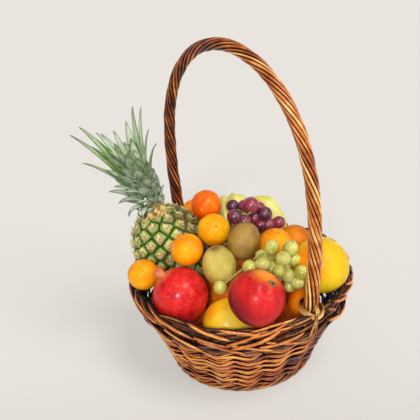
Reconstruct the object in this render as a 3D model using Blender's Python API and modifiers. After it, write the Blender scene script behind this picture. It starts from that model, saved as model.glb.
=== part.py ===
"""Fruit gift basket: an oval willow basket with a tall twisted hoop handle, heaped with whole fruit.

Metres, +Z up. The origin is the middle of the basket's flat underside, and the hoop stands in the Y-Z plane.
"""

import math

import bmesh
import bpy
from mathutils import Matrix, Vector

WELD = 0.000002               # points closer than this are one

# Basket
OVAL = 0.972                  # width along Y over width along X
FOOT_R = 0.1165               # foot ring, middle of the rod
FOOT_ROD_R = 0.0055
BASE_R = 0.1100
BASE_THICK = 0.008
WALL_Z0 = 0.0125
WALL_Z1 = 0.1130
WALL_R0 = 0.118
WALL_R1 = 0.164
WALL_FLARE = 1.15
WALL_THICK = 0.007
WEAVE_DEPTH = 0.0015
STAKES = 20
WEAVE_ROWS = 9

# Open border above the wall
BORDER_ROD_R = 0.0040
LOW_RING_R = 0.1680
LOW_RING_Z = 0.1195
TOP_RING_R = 0.1745
TOP_RING_Z = 0.1560
RING_WAVES = 11
RING_WAVE_Z = 0.0020
BORDER_RODS = 18
ROD_SWEEP = 0.44              # angle that each border rod runs round the basket
ROD_TIP_OVERHANG = 0.0045
ROD_OVER_RING = 0.0045        # how far a cut rod rides above the top ring's middle
ROD_STEPS = (0.0, 0.25, 0.5, 0.75, 1.0)
ROD_THICKNESS = [1.1, 1.1, 1.1, 1.0, 0.5]
FOOT_CLEAR_ANGLE = 0.13

# Hoop handle
HOOP_FOOT_Y = 0.1545
HOOP_SPRING_Z = 0.158         # where the hoop leaves the border
HOOP_RISE = 0.361
HOOP_SQUARENESS = 2.25
HOOP_BULGE = 0.40
HOOP_LEAN = 0.05
HOOP_POINTS = 24
HOOP_THICK_FOOT = 0.0103
HOOP_THICK_TOP = 0.0088
HOOP_RODS = 7
HOOP_GROOVE = 0.80            # radius between two rods over radius on a rod
HOOP_TURNS = 3.4
LEG_STEPS = ((0.1475, 0.1370), (0.1360, 0.1120), (0.1250, 0.0880))

# Lashings that tie the hoop to the border
TIE_ROD_R = 0.0026
TIE_HALF_X = 0.0185
TIE_HALF_Y = 0.0218
TIE_TILT_Z = 0.0120
TIE_Y = 0.1615

# Pineapple
PINE_CENTRE = Vector((-0.0760, 0.0875, 0.1890))
PINE_LEAN = math.radians(16)
CROWN_LEAN = math.radians(18)
PINE_HEADING = math.radians(142.5)
PINE_R = 0.0575
PINE_UP = 0.0680
PINE_DOWN = 0.0880
PINE_SHOULDER = 2.4           # superellipse powers of the body, above and below its middle
PINE_FOOT = 2.0
EYES_ROUND = 10
EYE_ROWS = 7
EYE_DEPTH = 0.0024
NECK_R = 0.0165
NECK_TOP = 0.0735
CROWN_LEAVES = 30
CROWN_STEM = 0.066
CROWN_STEM_R = 0.0150
LEAF_SHORT = 0.034
LEAF_LONG = 0.131
LONGEST_LEAF = 0.80           # how far up the stem the longest leaves grow
LEAF_HALF_WIDTH = 0.0115
LEAF_TURN = math.radians(137.5)

# Bananas: one hand, draped from the back of the rim over the top of the heap
BANANA_R = 0.0175
BANANA_STEM = Vector((0.0880, 0.1200, 0.1820))
BANANA_STUMP_LENGTH = 0.024
BANANA_THICKNESS = [0.40, 0.80, 1.0, 1.0, 1.0, 0.85, 0.35]
BANANA_FINGERS = (            # highest point and tip of each finger
    ((0.0650, 0.1110, 0.2060), (0.0330, 0.0710, 0.1930)),
    ((0.0630, 0.0800, 0.2220), (0.0450, 0.0470, 0.1900)),
    ((0.0960, 0.0780, 0.2050), (0.0720, 0.0350, 0.1800)),
    ((0.0920, 0.0470, 0.2190), (0.1130, 0.0060, 0.1720)),
)

# Grapes: across, up and out from the middle of the bunch, and radius, in millimetres
BUNCH_ACROSS = Vector((0.78, -0.62, -0.04)).normalized()
BUNCH_OUT = Vector((-0.545, -0.71, 0.446)).normalized()
GREEN_MIDDLE = Vector((-0.018, -0.093, 0.211))
GREEN_CORE = (0.030, 0.017, 0.009)
GREEN_CORE_TURN = math.radians(-33)
GREEN_GRAPES = (
    (-33, -4, 2, 11.2), (-14, 11, -10, 10.4), (-14, 2, 7, 11.7), (0, 25, -5, 10.8), (28, 23, -6, 11.7),
    (16, 8, 2, 11.8), (9, -9, 9, 9.6), (1, -6, -3, 10.3), (24, -17, -3, 10.8), (27, -33, -9, 9.7),
    (37, -27, -1, 10.8), (43, -12, 4, 11.1), (-77, -33, 7, 10.2),
)
GREEN_STALK = ((-30, 0, 2), (-50, -11, 3), (-64, -23, 5), (-74, -30, 6))
PURPLE_MIDDLE = Vector((0.041, 0.011, 0.231))
PURPLE_CORE = (0.029, 0.013, 0.011)
PURPLE_CORE_TURN = math.radians(-18)
GRAPE_STALK_R = 0.0016
PURPLE_GRAPES = (
    (-34, 17, -6, 10.6), (-32, 0, 8, 12.2), (-5, 17, 8, 13.9), (17, 4, 8, 12.1), (1, -3, -1, 11.4),
    (-16, -8, 12, 11.2), (11, -13, -1, 10.6), (23, -13, -6, 11.4), (41, -10, -6, 10.3), (-15, 16, -13, 11.6),
    (9, 12, -14, 11.6),
)

# Round fruit: name, centre, radius, height over width, stem direction
MANDARINS = (
    ("mandarin_left", (-0.1525, 0.0510, 0.1840), 0.0250, 0.93, (-0.2, -0.2, 1.0)),
    ("mandarin_middle", (-0.0975, 0.0085, 0.2245), 0.0255, 0.95, (-0.4, 0.1, 1.0)),
    ("mandarin_upper", (-0.0360, 0.0200, 0.2310), 0.0262, 0.94, (-0.31, -0.70, 0.63)),
    ("mandarin_top", (-0.0155, 0.0635, 0.2525), 0.0249, 0.94, (-0.45, -0.30, 0.84)),
    ("mandarin_right", (0.0275, -0.0530, 0.2100), 0.0266, 0.94, (0.1, -0.2, 1.0)),
    ("mandarin_rear", (0.0800, -0.0430, 0.1930), 0.0280, 0.93, (0.2, 0.1, 1.0)),
    ("mandarin_low", (0.0435, -0.1005, 0.1190), 0.0258, 0.95, (0.4, -0.6, 0.7)),
    ("mandarin_back", (0.0030, 0.1165, 0.2125), 0.0262, 0.94, (0.3, 0.5, 1.0)),
)
ROUND_FRUIT = (
    ("pomegranate", (-0.1290, -0.0120, 0.1670), 0.0418, 1.0, (-0.42, 0.47, 0.78)),
    ("mango_yellow", (-0.0910, -0.0765, 0.1305), 0.0402, 0.96, (0.1, 0.9, -0.2)),
    ("mango_red", (-0.0785, -0.1255, 0.1960), 0.0402, 1.0, (-0.16, -0.70, 0.70)),
    ("grapefruit", (0.0625, -0.1160, 0.1865), 0.0448, 0.96, (0.5, -0.3, 0.8)),
)
KIWIS = (                     # name, centre, radius, half length, axis
    ("kiwifruit_front", (-0.0680, -0.0300, 0.2025), 0.0258, 0.0315, (0.03, 0.21, 0.92)),
    ("kiwifruit_back", (-0.0170, -0.0290, 0.2238), 0.0248, 0.0305, (0.59, 0.13, 0.70)),
)
# Large citrus under the heap, which carry what shows
LOWER_FRUIT_R = 0.0407
LOWER_FRUIT = (
    (0.0985, -0.0015, 0.0845),
    (0.0205, 0.0470, 0.1300),
    (-0.0240, -0.0020, 0.0510),
    (-0.0390, -0.0125, 0.1400),
    (0.0515, -0.0660, 0.0570),
    (0.0950, 0.0810, 0.1455),
    (-0.0255, 0.0795, 0.0600),
    (-0.0995, 0.0155, 0.0900),
    (-0.0320, -0.0830, 0.0685),
    (0.0410, -0.0340, 0.1350),
    (0.0545, 0.0615, 0.0510),
)


def clear_scene():
    for item in list(bpy.data.objects):
        bpy.data.objects.remove(item, do_unlink=True)


def new_collection(name):
    found = bpy.data.collections.new(name)
    bpy.context.scene.collection.children.link(found)
    return found


def finish(name, colour, roughness):
    """A plain Principled material."""
    made = bpy.data.materials.new(name)
    made.use_nodes = True
    shader = made.node_tree.nodes["Principled BSDF"]
    shader.inputs["Base Color"].default_value = (*colour, 1.0)
    shader.inputs["Roughness"].default_value = roughness
    shader.inputs["Metallic"].default_value = 0.0
    return made


def add_object(name, data, collection, material=None):
    made = bpy.data.objects.new(name, data)
    collection.objects.link(made)
    if material:
        data.materials.clear()
        data.materials.append(material)
    return made


def add_from_bmesh(name, shape, collection, material=None, smooth=True):
    data = bpy.data.meshes.new(name)
    bmesh.ops.recalc_face_normals(shape, faces=shape.faces)
    shape.to_mesh(data)
    shape.free()
    if smooth:
        data.shade_smooth()
    return add_object(name, data, collection, material)


def curve_to_mesh(source, collection, material=None):
    """Replace a curve object by its welded mesh."""
    name = source.name
    bpy.context.view_layer.update()
    evaluated = source.evaluated_get(bpy.context.evaluated_depsgraph_get())
    data = bpy.data.meshes.new_from_object(evaluated)
    placed = source.matrix_world.copy()
    bpy.data.objects.remove(source, do_unlink=True)
    shape = bmesh.new()
    shape.from_mesh(data)
    bmesh.ops.remove_doubles(shape, verts=shape.verts, dist=0.00002)
    made = add_from_bmesh(name, shape, collection, material)
    made.matrix_world = placed
    return made


def path(name, points, radii, collection, closed=False, tilts=None):
    """A poly curve through points, with a thickness factor for each."""
    data = bpy.data.curves.new(name, "CURVE")
    data.dimensions = "3D"
    data.use_fill_caps = not closed
    spline = data.splines.new("POLY")
    spline.points.add(len(points) - 1)
    for index, (point, place) in enumerate(zip(spline.points, points)):
        point.co = (*place, 1.0)
        point.radius = radii[index]
        if tilts:
            point.tilt = tilts[index]
    spline.use_cyclic_u = closed
    return add_object(name, data, collection)


def rod(name, points, radius, collection, closed=False, radii=None, detail=1):
    """A round rod along points, as a mesh."""
    made = path(name, points, radii or [1.0] * len(points), collection, closed)
    made.data.bevel_depth = radius
    made.data.bevel_resolution = detail
    return curve_to_mesh(made, collection)


def fuse(name, pieces, collection, material, solver="EXACT"):
    """Join pieces into one closed body by a single union on a collection."""
    body = pieces[0]
    body.name = name
    held = new_collection(name + "_pieces")
    for piece in pieces[1:]:
        for home in list(piece.users_collection):
            home.objects.unlink(piece)
        held.objects.link(piece)
    union = body.modifiers.new("union", "BOOLEAN")
    union.operation = "UNION"
    union.operand_type = "COLLECTION"
    union.collection = held
    union.solver = solver
    bpy.context.view_layer.update()
    evaluated = body.evaluated_get(bpy.context.evaluated_depsgraph_get())
    joined = bpy.data.meshes.new_from_object(evaluated)
    placed = body.matrix_world.copy()
    bpy.data.objects.remove(body, do_unlink=True)
    for piece in list(held.objects):
        bpy.data.objects.remove(piece, do_unlink=True)
    bpy.data.collections.remove(held)
    made = add_object(name, drop_scraps(joined), collection, material)
    made.matrix_world = placed
    return made


def drop_scraps(data):
    """Keep the largest closed body, without slivers."""
    shape = bmesh.new()
    shape.from_mesh(data)
    bmesh.ops.remove_doubles(shape, verts=shape.verts, dist=WELD)
    bmesh.ops.triangulate(shape, faces=shape.faces)
    unseen = set(shape.verts)
    bodies = []
    while unseen:
        start = unseen.pop()
        body = [start]
        queue = [start]
        while queue:
            for edge in queue.pop().link_edges:
                for vert in edge.verts:
                    if vert in unseen:
                        unseen.remove(vert)
                        body.append(vert)
                        queue.append(vert)
        bodies.append(body)
    bodies.sort(key=len, reverse=True)
    for scrap in bodies[1:]:
        bmesh.ops.delete(shape, geom=scrap, context="VERTS")
    shape.to_mesh(data)
    shape.free()
    return data


def toward(direction):
    """A rotation that turns +Z to a direction."""
    return Vector(direction).normalized().to_track_quat("Z", "Y").to_matrix().to_4x4()


def on_oval(angle, radius, height):
    return Vector((radius * math.cos(angle), radius * OVAL * math.sin(angle), height))


def wall_radius(height):
    return WALL_R0 + (WALL_R1 - WALL_R0) * (height / WALL_Z1) ** WALL_FLARE


# ---------------------------------------------------------------- basket

def build_base(collection, willow):
    """The flat woven bottom that the basket stands on."""
    shape = bmesh.new()
    bmesh.ops.create_cone(shape, cap_ends=True, segments=32, radius1=BASE_R, radius2=BASE_R, depth=BASE_THICK)
    bmesh.ops.scale(shape, vec=(1.0, OVAL, 1.0), verts=shape.verts)
    bmesh.ops.translate(shape, vec=(0.0, 0.0, BASE_THICK / 2), verts=shape.verts)
    add_from_bmesh("basket_base", shape, collection, willow, smooth=False)


def build_foot(collection, willow):
    """The thick rod round the foot, which the wall stands on."""
    count = 32
    points = [on_oval(math.tau * k / count, FOOT_R, FOOT_ROD_R) for k in range(count)]
    made = rod("foot_ring", points, FOOT_ROD_R, collection, closed=True, detail=0)
    made.data.materials.append(willow)


def build_wall(collection, willow):
    """The flared wall, with each weaver passing in front of and behind the stakes in turn."""
    around = STAKES * 2
    shape = bmesh.new()
    bmesh.ops.create_grid(shape, x_segments=around, y_segments=WEAVE_ROWS, size=0.5)
    for vert in shape.verts:
        step = round((vert.co.x + 0.5) * around)
        row = round((vert.co.y + 0.5) * WEAVE_ROWS)
        height = WALL_Z0 + (WALL_Z1 - WALL_Z0) * row / WEAVE_ROWS
        edge_row = row in (0, WEAVE_ROWS)
        wave = 0.0 if edge_row else math.cos(math.pi * (step / 2 + row))
        vert.co = on_oval(math.tau * step / around, wall_radius(height) + WEAVE_DEPTH * wave, height)
    bmesh.ops.remove_doubles(shape, verts=shape.verts, dist=0.0001)
    wall = add_from_bmesh("basket_wall", shape, collection, willow)
    shell = wall.modifiers.new("thickness", "SOLIDIFY")
    shell.thickness = WALL_THICK
    shell.offset = -1.0


def near_hoop(angle):
    """True close to either foot of the hoop."""
    return abs(abs(math.remainder(angle, math.tau)) - math.pi / 2) < FOOT_CLEAR_ANGLE


def build_border(collection, willow):
    """The open border: two rings of rod, and cut rods that slant from the low one over the top one."""
    count = RING_WAVES * 3 + 1
    pieces = []
    for name, radius, height, shift in (("top", TOP_RING_R, TOP_RING_Z, 0.0), ("low", LOW_RING_R, LOW_RING_Z, 1.0)):
        points = []
        for k in range(count):
            angle = math.tau * k / count
            calm = 0.0 if name == "low" else 1.0
            wave = calm * RING_WAVE_Z * math.cos(RING_WAVES * angle + shift) * abs(math.cos(angle))
            points.append(on_oval(angle, radius, height + wave))
        pieces.append(rod("ring_" + name, points, BORDER_ROD_R, collection, closed=True, detail=0))
    for k in range(BORDER_RODS):
        start = math.tau * (k + 0.35) / BORDER_RODS
        if any(near_hoop(start + ROD_SWEEP * part) for part in ROD_STEPS):
            continue
        points = []
        for part in ROD_STEPS:
            rise = math.sin(math.pi * (0.08 + 0.80 * part))
            height = LOW_RING_Z + (TOP_RING_Z - LOW_RING_Z + ROD_OVER_RING) * rise
            radius = LOW_RING_R + (TOP_RING_R - LOW_RING_R) * rise + ROD_TIP_OVERHANG * part
            points.append(on_oval(start + ROD_SWEEP * part, radius, height))
        pieces.append(rod(f"cut_rod_{k}", points, BORDER_ROD_R, collection, radii=ROD_THICKNESS, detail=0))
    fuse("rim_border", pieces, collection, willow, solver="MANIFOLD")


def hoop_point(turn):
    """The hoop's middle line, from the +Y foot at 0 to the -Y foot at pi."""
    sine = max(math.sin(turn), 0.0)
    across = HOOP_FOOT_Y * math.cos(turn) * (1.0 + HOOP_BULGE * sine)
    rise = HOOP_RISE * sine ** (2.0 / HOOP_SQUARENESS)
    return Vector((-math.tan(HOOP_LEAN) * rise, across, HOOP_SPRING_Z + rise))


def hoop_path():
    """All points of the handle, with the legs that go down inside the wall."""
    steps = [math.pi * (k / HOOP_POINTS) for k in range(HOOP_POINTS + 1)]
    points = [hoop_point(turn) for turn in steps]
    front = [Vector((0.0, -y, z)) for y, z in LEG_STEPS]
    back = [Vector((0.0, y, z)) for y, z in reversed(LEG_STEPS)]
    return back + points + front


def build_handle(collection, willow):
    """The hoop, a rope of thin rods twisted side by side."""
    points = hoop_path()
    lobes = HOOP_RODS * 2
    ring = []
    for k in range(lobes):
        angle = math.tau * k / lobes
        size = 1.0 if k % 2 == 0 else HOOP_GROOVE
        ring.append((size * math.cos(angle), size * math.sin(angle), 0.0))
    section = path("hoop_section", ring, [1.0] * lobes, collection, closed=True)
    section.data.dimensions = "2D"
    section.hide_render = True
    section.display_type = "WIRE"
    middle = (len(points) - 1) / 2
    radii = []
    tilts = []
    for index in range(len(points)):
        from_top = abs(index - middle) / middle
        radii.append(HOOP_THICK_TOP + (HOOP_THICK_FOOT - HOOP_THICK_TOP) * from_top ** 2)
        tilts.append(math.tau * HOOP_TURNS * index / len(points))
    hoop = path("handle", points, radii, collection, tilts=tilts)
    hoop.data.bevel_mode = "OBJECT"
    hoop.data.bevel_object = section
    made = curve_to_mesh(hoop, collection, willow)
    made.name = "handle"
    bpy.data.objects.remove(section, do_unlink=True)


def build_tie(name, side, collection, willow):
    """A crossed lashing of split rod round the hoop's leg and the border, with a tail down the outside."""
    pieces = []
    turns = 10
    for lean in (1.0, -1.0):
        points = []
        for k in range(turns):
            angle = math.tau * (k + 0.25) / turns
            x = TIE_HALF_X * math.cos(angle)
            y = TIE_Y + TIE_HALF_Y * math.sin(angle)
            points.append((x, side * y, TOP_RING_Z + 0.002 - lean * TIE_TILT_Z * math.cos(angle)))
        pieces.append(rod(f"{name}_loop", points, TIE_ROD_R, collection, closed=True, detail=0))
    outside = side * (TIE_Y + TIE_HALF_Y)
    tail = [(0.0, outside, TOP_RING_Z + 0.004), (-0.006, outside + side * 0.001, TOP_RING_Z - 0.012),
            (-0.016, outside - side * 0.002, TOP_RING_Z - 0.038)]
    pieces.append(rod(f"{name}_tail", tail, TIE_ROD_R, collection, detail=0))
    fuse(name, pieces, collection, willow, solver="MANIFOLD")


# ---------------------------------------------------------------- fruit

def ball(radius, squash=1.0, around=12, rows=7):
    shape = bmesh.new()
    bmesh.ops.create_uvsphere(shape, u_segments=around, v_segments=rows, radius=radius)
    bmesh.ops.scale(shape, vec=(1.0, 1.0, squash), verts=shape.verts)
    return shape


def add_round_fruit(name, centre, radius, squash, stem, collection, peel, dimple=0.12, around=12, rows=7):
    """A round fruit with a shallow dimple at its stem end."""
    shape = ball(radius, squash, around, rows)
    for vert in shape.verts:
        flat = math.hypot(vert.co.x, vert.co.y) / radius
        if vert.co.z > 0.0 and flat < 0.3:
            vert.co.z -= dimple * radius * (1.0 - flat / 0.3)
    place = Matrix.Translation(centre) @ toward(stem)
    bmesh.ops.transform(shape, matrix=place, verts=shape.verts)
    return add_from_bmesh(name, shape, collection, peel)


def build_mandarins(collection, peel):
    for name, centre, radius, squash, stem in MANDARINS:
        add_round_fruit(name, centre, radius, squash, stem, collection, peel)


def build_lower_fruit(collection, peel):
    for index, centre in enumerate(LOWER_FRUIT, 1):
        add_round_fruit(f"lower_citrus_{index:02d}", centre, LOWER_FRUIT_R, 0.97, (0.2, 0.1 * index, 1.0),
                        collection, peel, dimple=0.05, around=10, rows=6)


def build_pomegranate(collection, peel):
    """A round, faintly five-sided fruit with a flared calyx of six teeth."""
    name, centre, radius, _, stem = ROUND_FRUIT[0]
    shape = ball(radius, 1.0, 15, 8)
    for vert in shape.verts:
        side = math.cos(5.0 * math.atan2(vert.co.y, vert.co.x))
        vert.co *= 1.0 - 0.012 * (1.0 - side)
    place = Matrix.Translation(centre) @ toward(stem)
    bmesh.ops.transform(shape, matrix=place, verts=shape.verts)
    body = add_from_bmesh(name, shape, collection)
    calyx = bmesh.new()
    bmesh.ops.create_cone(calyx, cap_ends=True, segments=12, radius1=0.0085, radius2=0.0115, depth=0.017)
    for index, vert in enumerate(v for v in calyx.verts if v.co.z > 0.0):
        vert.co.z += 0.003 * (index % 2)
    lift = Matrix.Translation((0.0, 0.0, radius + 0.003))
    bmesh.ops.transform(calyx, matrix=place @ lift, verts=calyx.verts)
    crown = add_from_bmesh(name + "_calyx", calyx, collection)
    fuse(name, [body, crown], collection, peel)


def build_large_fruit(collection, finishes):
    for (name, centre, radius, squash, stem), peel in zip(ROUND_FRUIT[1:], finishes):
        add_round_fruit(name, centre, radius, squash, stem, collection, peel, dimple=0.07, around=14, rows=8)


def build_kiwis(collection, skin):
    """Egg-shaped fruit with a blunt stem end."""
    for name, centre, radius, half, axis in KIWIS:
        shape = ball(1.0, 1.0, 12, 7)
        for vert in shape.verts:
            along = vert.co.z
            girth = radius * (1.0 - 0.05 * along)
            vert.co = (vert.co.x * girth, vert.co.y * girth, along * half)
        bmesh.ops.transform(shape, matrix=Matrix.Translation(centre) @ toward(axis), verts=shape.verts)
        add_from_bmesh(name, shape, collection, skin)


def pine_axis(lean):
    """The frame of the pineapple, leaning outwards by an angle."""
    turn = Matrix.Rotation(PINE_HEADING, 4, "Z") @ Matrix.Rotation(lean, 4, "Y")
    return Matrix.Translation(PINE_CENTRE) @ turn


def build_pineapple_body(collection, skin):
    """A barrel covered in raised eyes in crossing spirals, with the stump of the crown's stem on top."""
    shape = bmesh.new()
    rows = EYE_ROWS * 2
    bmesh.ops.create_uvsphere(shape, u_segments=EYES_ROUND * 2, v_segments=rows, radius=1.0)
    for vert in shape.verts:
        row = round(math.acos(max(-1.0, min(1.0, vert.co.z))) * rows / math.pi)
        angle = math.atan2(vert.co.y, vert.co.x)
        step = round(angle * EYES_ROUND / math.pi)
        along = math.cos(math.pi * row / rows) ** 3 * 0.25 + math.cos(math.pi * row / rows) * 0.75
        power = PINE_SHOULDER if along > 0.0 else PINE_FOOT
        girth = max(1.0 - abs(along) ** power, 0.0) ** (1.0 / power)
        eye = EYE_DEPTH if (row + step) % 2 == 0 else -EYE_DEPTH
        radius = PINE_R * girth + (eye if girth > 0.1 else 0.0)
        reach = PINE_UP if along > 0.0 else PINE_DOWN
        vert.co = (radius * math.cos(angle), radius * math.sin(angle), along * reach)
    bmesh.ops.transform(shape, matrix=pine_axis(PINE_LEAN), verts=shape.verts)
    body = add_from_bmesh("pineapple_body", shape, collection)
    stump = bmesh.new()
    height = NECK_TOP - PINE_UP * 0.7
    bmesh.ops.create_cone(stump, cap_ends=True, segments=12, radius1=NECK_R * 1.15, radius2=NECK_R, depth=height)
    lift = Matrix.Translation((0.0, 0.0, NECK_TOP - height / 2))
    bmesh.ops.transform(stump, matrix=pine_axis(PINE_LEAN) @ lift, verts=stump.verts)
    neck = add_from_bmesh("pineapple_neck", stump, collection)
    fuse("pineapple_body", [body, neck], collection, skin)


def leaf_frame(index):
    """Place of a crown leaf: it starts on the stem and points away from it, less so towards the top."""
    share = index / (CROWN_LEAVES - 1)
    open_angle = math.radians(11 + 38 * (1.0 - share) ** 1.4)
    turn = Matrix.Rotation(LEAF_TURN * index, 4, "Z")
    start = Matrix.Translation((0.0, CROWN_STEM_R * 0.75 * (1.0 - share), 0.003 + CROWN_STEM * share))
    tilt = Matrix.Rotation(math.pi / 2 - open_angle, 4, "X")
    return turn @ start @ tilt


def leaf_shape(index):
    """Half width and middle line of a leaf, which runs along +Y and bends back towards its underside."""
    share = index / (CROWN_LEAVES - 1)
    length = LEAF_SHORT + (LEAF_LONG - LEAF_SHORT) * min(1.0, share / LONGEST_LEAF) ** 1.25
    length *= 1.0 - 0.45 * max(0.0, share - LONGEST_LEAF) / (1.0 - LONGEST_LEAF)
    bend = math.radians(62 * (1.0 - share) ** 2 + 16)
    points = [Vector((0.0, 0.0, 0.0))]
    steps = 3
    for k in range(1, steps + 1):
        angle = bend * ((k - 0.5) / steps) ** 1.3
        points.append(points[-1] + Vector((0.0, math.cos(angle), -math.sin(angle))) * (length / steps))
    return LEAF_HALF_WIDTH * (0.55 + 0.45 * math.sin(math.pi * min(1.0, share * 1.1 + 0.1))), points


def build_pineapple_crown(collection, leaf_green):
    """A rosette of pointed, channelled leaves round a short stem."""
    section = path("leaf_section", ((1.0, 0.22, 0.0), (0.0, 0.10, 0.0), (-1.0, 0.22, 0.0), (0.0, -0.13, 0.0)),
                   [1.0] * 4, collection, closed=True)
    section.data.dimensions = "2D"
    base = pine_axis(PINE_LEAN) @ Matrix.Translation((0.0, 0.0, NECK_TOP + 0.0004))
    grow = base @ Matrix.Rotation(CROWN_LEAN - PINE_LEAN, 4, "Y")
    stem = bmesh.new()
    height = CROWN_STEM * 1.12
    bmesh.ops.create_cone(stem, cap_ends=True, segments=10, radius1=CROWN_STEM_R, radius2=0.004, depth=height)
    lift = Matrix.Translation((0.0, 0.0, height / 2))
    bmesh.ops.transform(stem, matrix=base @ lift, verts=stem.verts)
    pieces = [add_from_bmesh("crown_stem", stem, collection)]
    for index in range(CROWN_LEAVES):
        half_width, points = leaf_shape(index)
        widths = [half_width * part for part in (0.85, 1.0, 0.65, 0.07)]
        leaf = path(f"leaf_{index}", points, widths, collection)
        leaf.data.twist_mode = "Z_UP"
        leaf.data.bevel_mode = "OBJECT"
        leaf.data.bevel_object = section
        blade = curve_to_mesh(leaf, collection)
        blade.data.transform(grow @ leaf_frame(index))
        pieces.append(blade)
    bpy.data.objects.remove(section, do_unlink=True)
    fuse("pineapple_crown", pieces, collection, leaf_green, solver="MANIFOLD")


def build_bananas(collection, skin):
    """Curved fingers that leave one stem and arch forwards over the heap."""
    pieces = []
    steps = len(BANANA_THICKNESS) - 1
    for index, (top, tip) in enumerate(BANANA_FINGERS):
        top = Vector(top)
        tip = Vector(tip)
        pull = top * 2.0 - (BANANA_STEM + tip) / 2.0
        points = []
        for k in range(steps + 1):
            t = k / steps
            points.append(BANANA_STEM * (1 - t) ** 2 + pull * (2 * t * (1 - t)) + tip * t ** 2)
        pieces.append(rod(f"finger_{index}", points, BANANA_R, collection, radii=BANANA_THICKNESS))
    stump = bmesh.new()
    bmesh.ops.create_cone(stump, cap_ends=True, segments=10, radius1=0.014, radius2=0.011, depth=BANANA_STUMP_LENGTH)
    place = Matrix.Translation(BANANA_STEM + Vector((0.004, 0.005, 0.0))) @ toward((0.5, 0.8, -0.2))
    bmesh.ops.transform(stump, matrix=place, verts=stump.verts)
    pieces.append(add_from_bmesh("banana_stem", stump, collection))
    fuse("bananas", pieces, collection, skin, solver="MANIFOLD")


def build_grapes(name, middle, core, core_turn, grapes, stalk, collection, skin):
    """A bunch: grapes at true size round a smaller core."""
    up = BUNCH_OUT.cross(BUNCH_ACROSS).normalized()
    across = up.cross(BUNCH_OUT)
    frame = Matrix((across, up, BUNCH_OUT)).transposed().to_4x4()
    frame.translation = middle
    heart = bmesh.new()
    bmesh.ops.create_uvsphere(heart, u_segments=10, v_segments=6, radius=1.0)
    turned = frame @ Matrix.Rotation(core_turn, 4, "Z") @ Matrix.Diagonal((*core, 1.0))
    bmesh.ops.transform(heart, matrix=turned, verts=heart.verts)
    pieces = [add_from_bmesh(name, heart, collection)]
    for index, (aside, above, out, radius) in enumerate(grapes):
        place = frame @ (Vector((aside, above, out)) * 0.001)
        grape = ball(radius * 0.001, 1.0, 8, 5)
        bmesh.ops.transform(grape, matrix=Matrix.Translation(place), verts=grape.verts)
        pieces.append(add_from_bmesh(f"{name}_{index}", grape, collection))
    if stalk:
        points = [frame @ (Vector(place) * 0.001) for place in stalk]
        pieces.append(rod(f"{name}_stalk", points, GRAPE_STALK_R, collection, detail=0))
    fuse(name, pieces, collection, skin, solver="MANIFOLD")


def build_all():
    clear_scene()
    parts = new_collection("fruit_gift_basket")
    willow = finish("stained_willow", (0.30, 0.10, 0.03), 0.4)
    mandarin_peel = finish("mandarin_peel", (0.95, 0.36, 0.02), 0.4)
    red_peel = finish("pomegranate_skin", (0.60, 0.03, 0.02), 0.35)
    yellow_peel = finish("yellow_peel", (0.93, 0.60, 0.03), 0.4)
    blush_peel = finish("red_mango_skin", (0.50, 0.04, 0.04), 0.35)
    fuzzy_skin = finish("kiwifruit_skin", (0.36, 0.25, 0.06), 0.8)
    build_base(parts, willow)
    build_foot(parts, willow)
    build_wall(parts, willow)
    build_border(parts, willow)
    build_handle(parts, willow)
    build_tie("handle_tie_front", -1.0, parts, willow)
    build_tie("handle_tie_back", 1.0, parts, willow)
    build_mandarins(parts, mandarin_peel)
    build_pomegranate(parts, red_peel)
    build_large_fruit(parts, (yellow_peel, blush_peel, yellow_peel))
    build_kiwis(parts, fuzzy_skin)
    build_lower_fruit(parts, mandarin_peel)
    build_pineapple_body(parts, finish("pineapple_skin", (0.33, 0.30, 0.07), 0.6))
    build_pineapple_crown(parts, finish("crown_leaf", (0.22, 0.33, 0.17), 0.6))
    build_bananas(parts, finish("banana_skin", (0.75, 0.72, 0.22), 0.5))
    build_grapes("green_grapes", GREEN_MIDDLE, GREEN_CORE, GREEN_CORE_TURN, GREEN_GRAPES, GREEN_STALK, parts,
                 finish("green_grape_skin", (0.55, 0.58, 0.18), 0.3))
    build_grapes("purple_grapes", PURPLE_MIDDLE, PURPLE_CORE, PURPLE_CORE_TURN, PURPLE_GRAPES, (), parts,
                 finish("purple_grape_skin", (0.14, 0.03, 0.07), 0.35))


build_all()
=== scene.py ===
"""A fruit gift basket: oval, of stained willow, with a tall twisted hoop handle, heaped with whole fruit.

Metres. The origin is the middle of the basket's underside, +Z is up, and the hoop stands in the Y-Z plane.
"""
import math
import random

import bmesh
import bpy
from mathutils import Matrix, Vector, noise
from mathutils.kdtree import KDTree


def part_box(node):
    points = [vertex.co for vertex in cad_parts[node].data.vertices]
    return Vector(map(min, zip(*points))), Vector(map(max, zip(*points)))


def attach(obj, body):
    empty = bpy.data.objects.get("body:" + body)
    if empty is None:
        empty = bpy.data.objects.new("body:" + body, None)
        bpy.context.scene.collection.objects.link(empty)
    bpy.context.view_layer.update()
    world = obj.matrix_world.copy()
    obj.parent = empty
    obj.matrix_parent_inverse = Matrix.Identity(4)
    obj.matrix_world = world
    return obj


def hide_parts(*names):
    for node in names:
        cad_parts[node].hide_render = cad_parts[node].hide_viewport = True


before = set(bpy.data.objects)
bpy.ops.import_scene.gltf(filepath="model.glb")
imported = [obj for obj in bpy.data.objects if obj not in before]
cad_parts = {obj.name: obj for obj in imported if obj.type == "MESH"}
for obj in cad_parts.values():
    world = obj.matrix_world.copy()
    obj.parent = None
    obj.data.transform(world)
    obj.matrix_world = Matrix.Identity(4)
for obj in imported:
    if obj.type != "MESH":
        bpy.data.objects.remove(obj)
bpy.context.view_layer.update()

# ---------------------------------------------------------------- Base
# A round woven bottom: spokes of split willow with thinner rods woven round them, soaked, bent and dried
# with the rest. The whole basket is stained dark brown and varnished. Each rod is painted golden where it
# faces outwards and nearly black between rods: partly stain and wear, partly painted highlight and shade.


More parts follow.
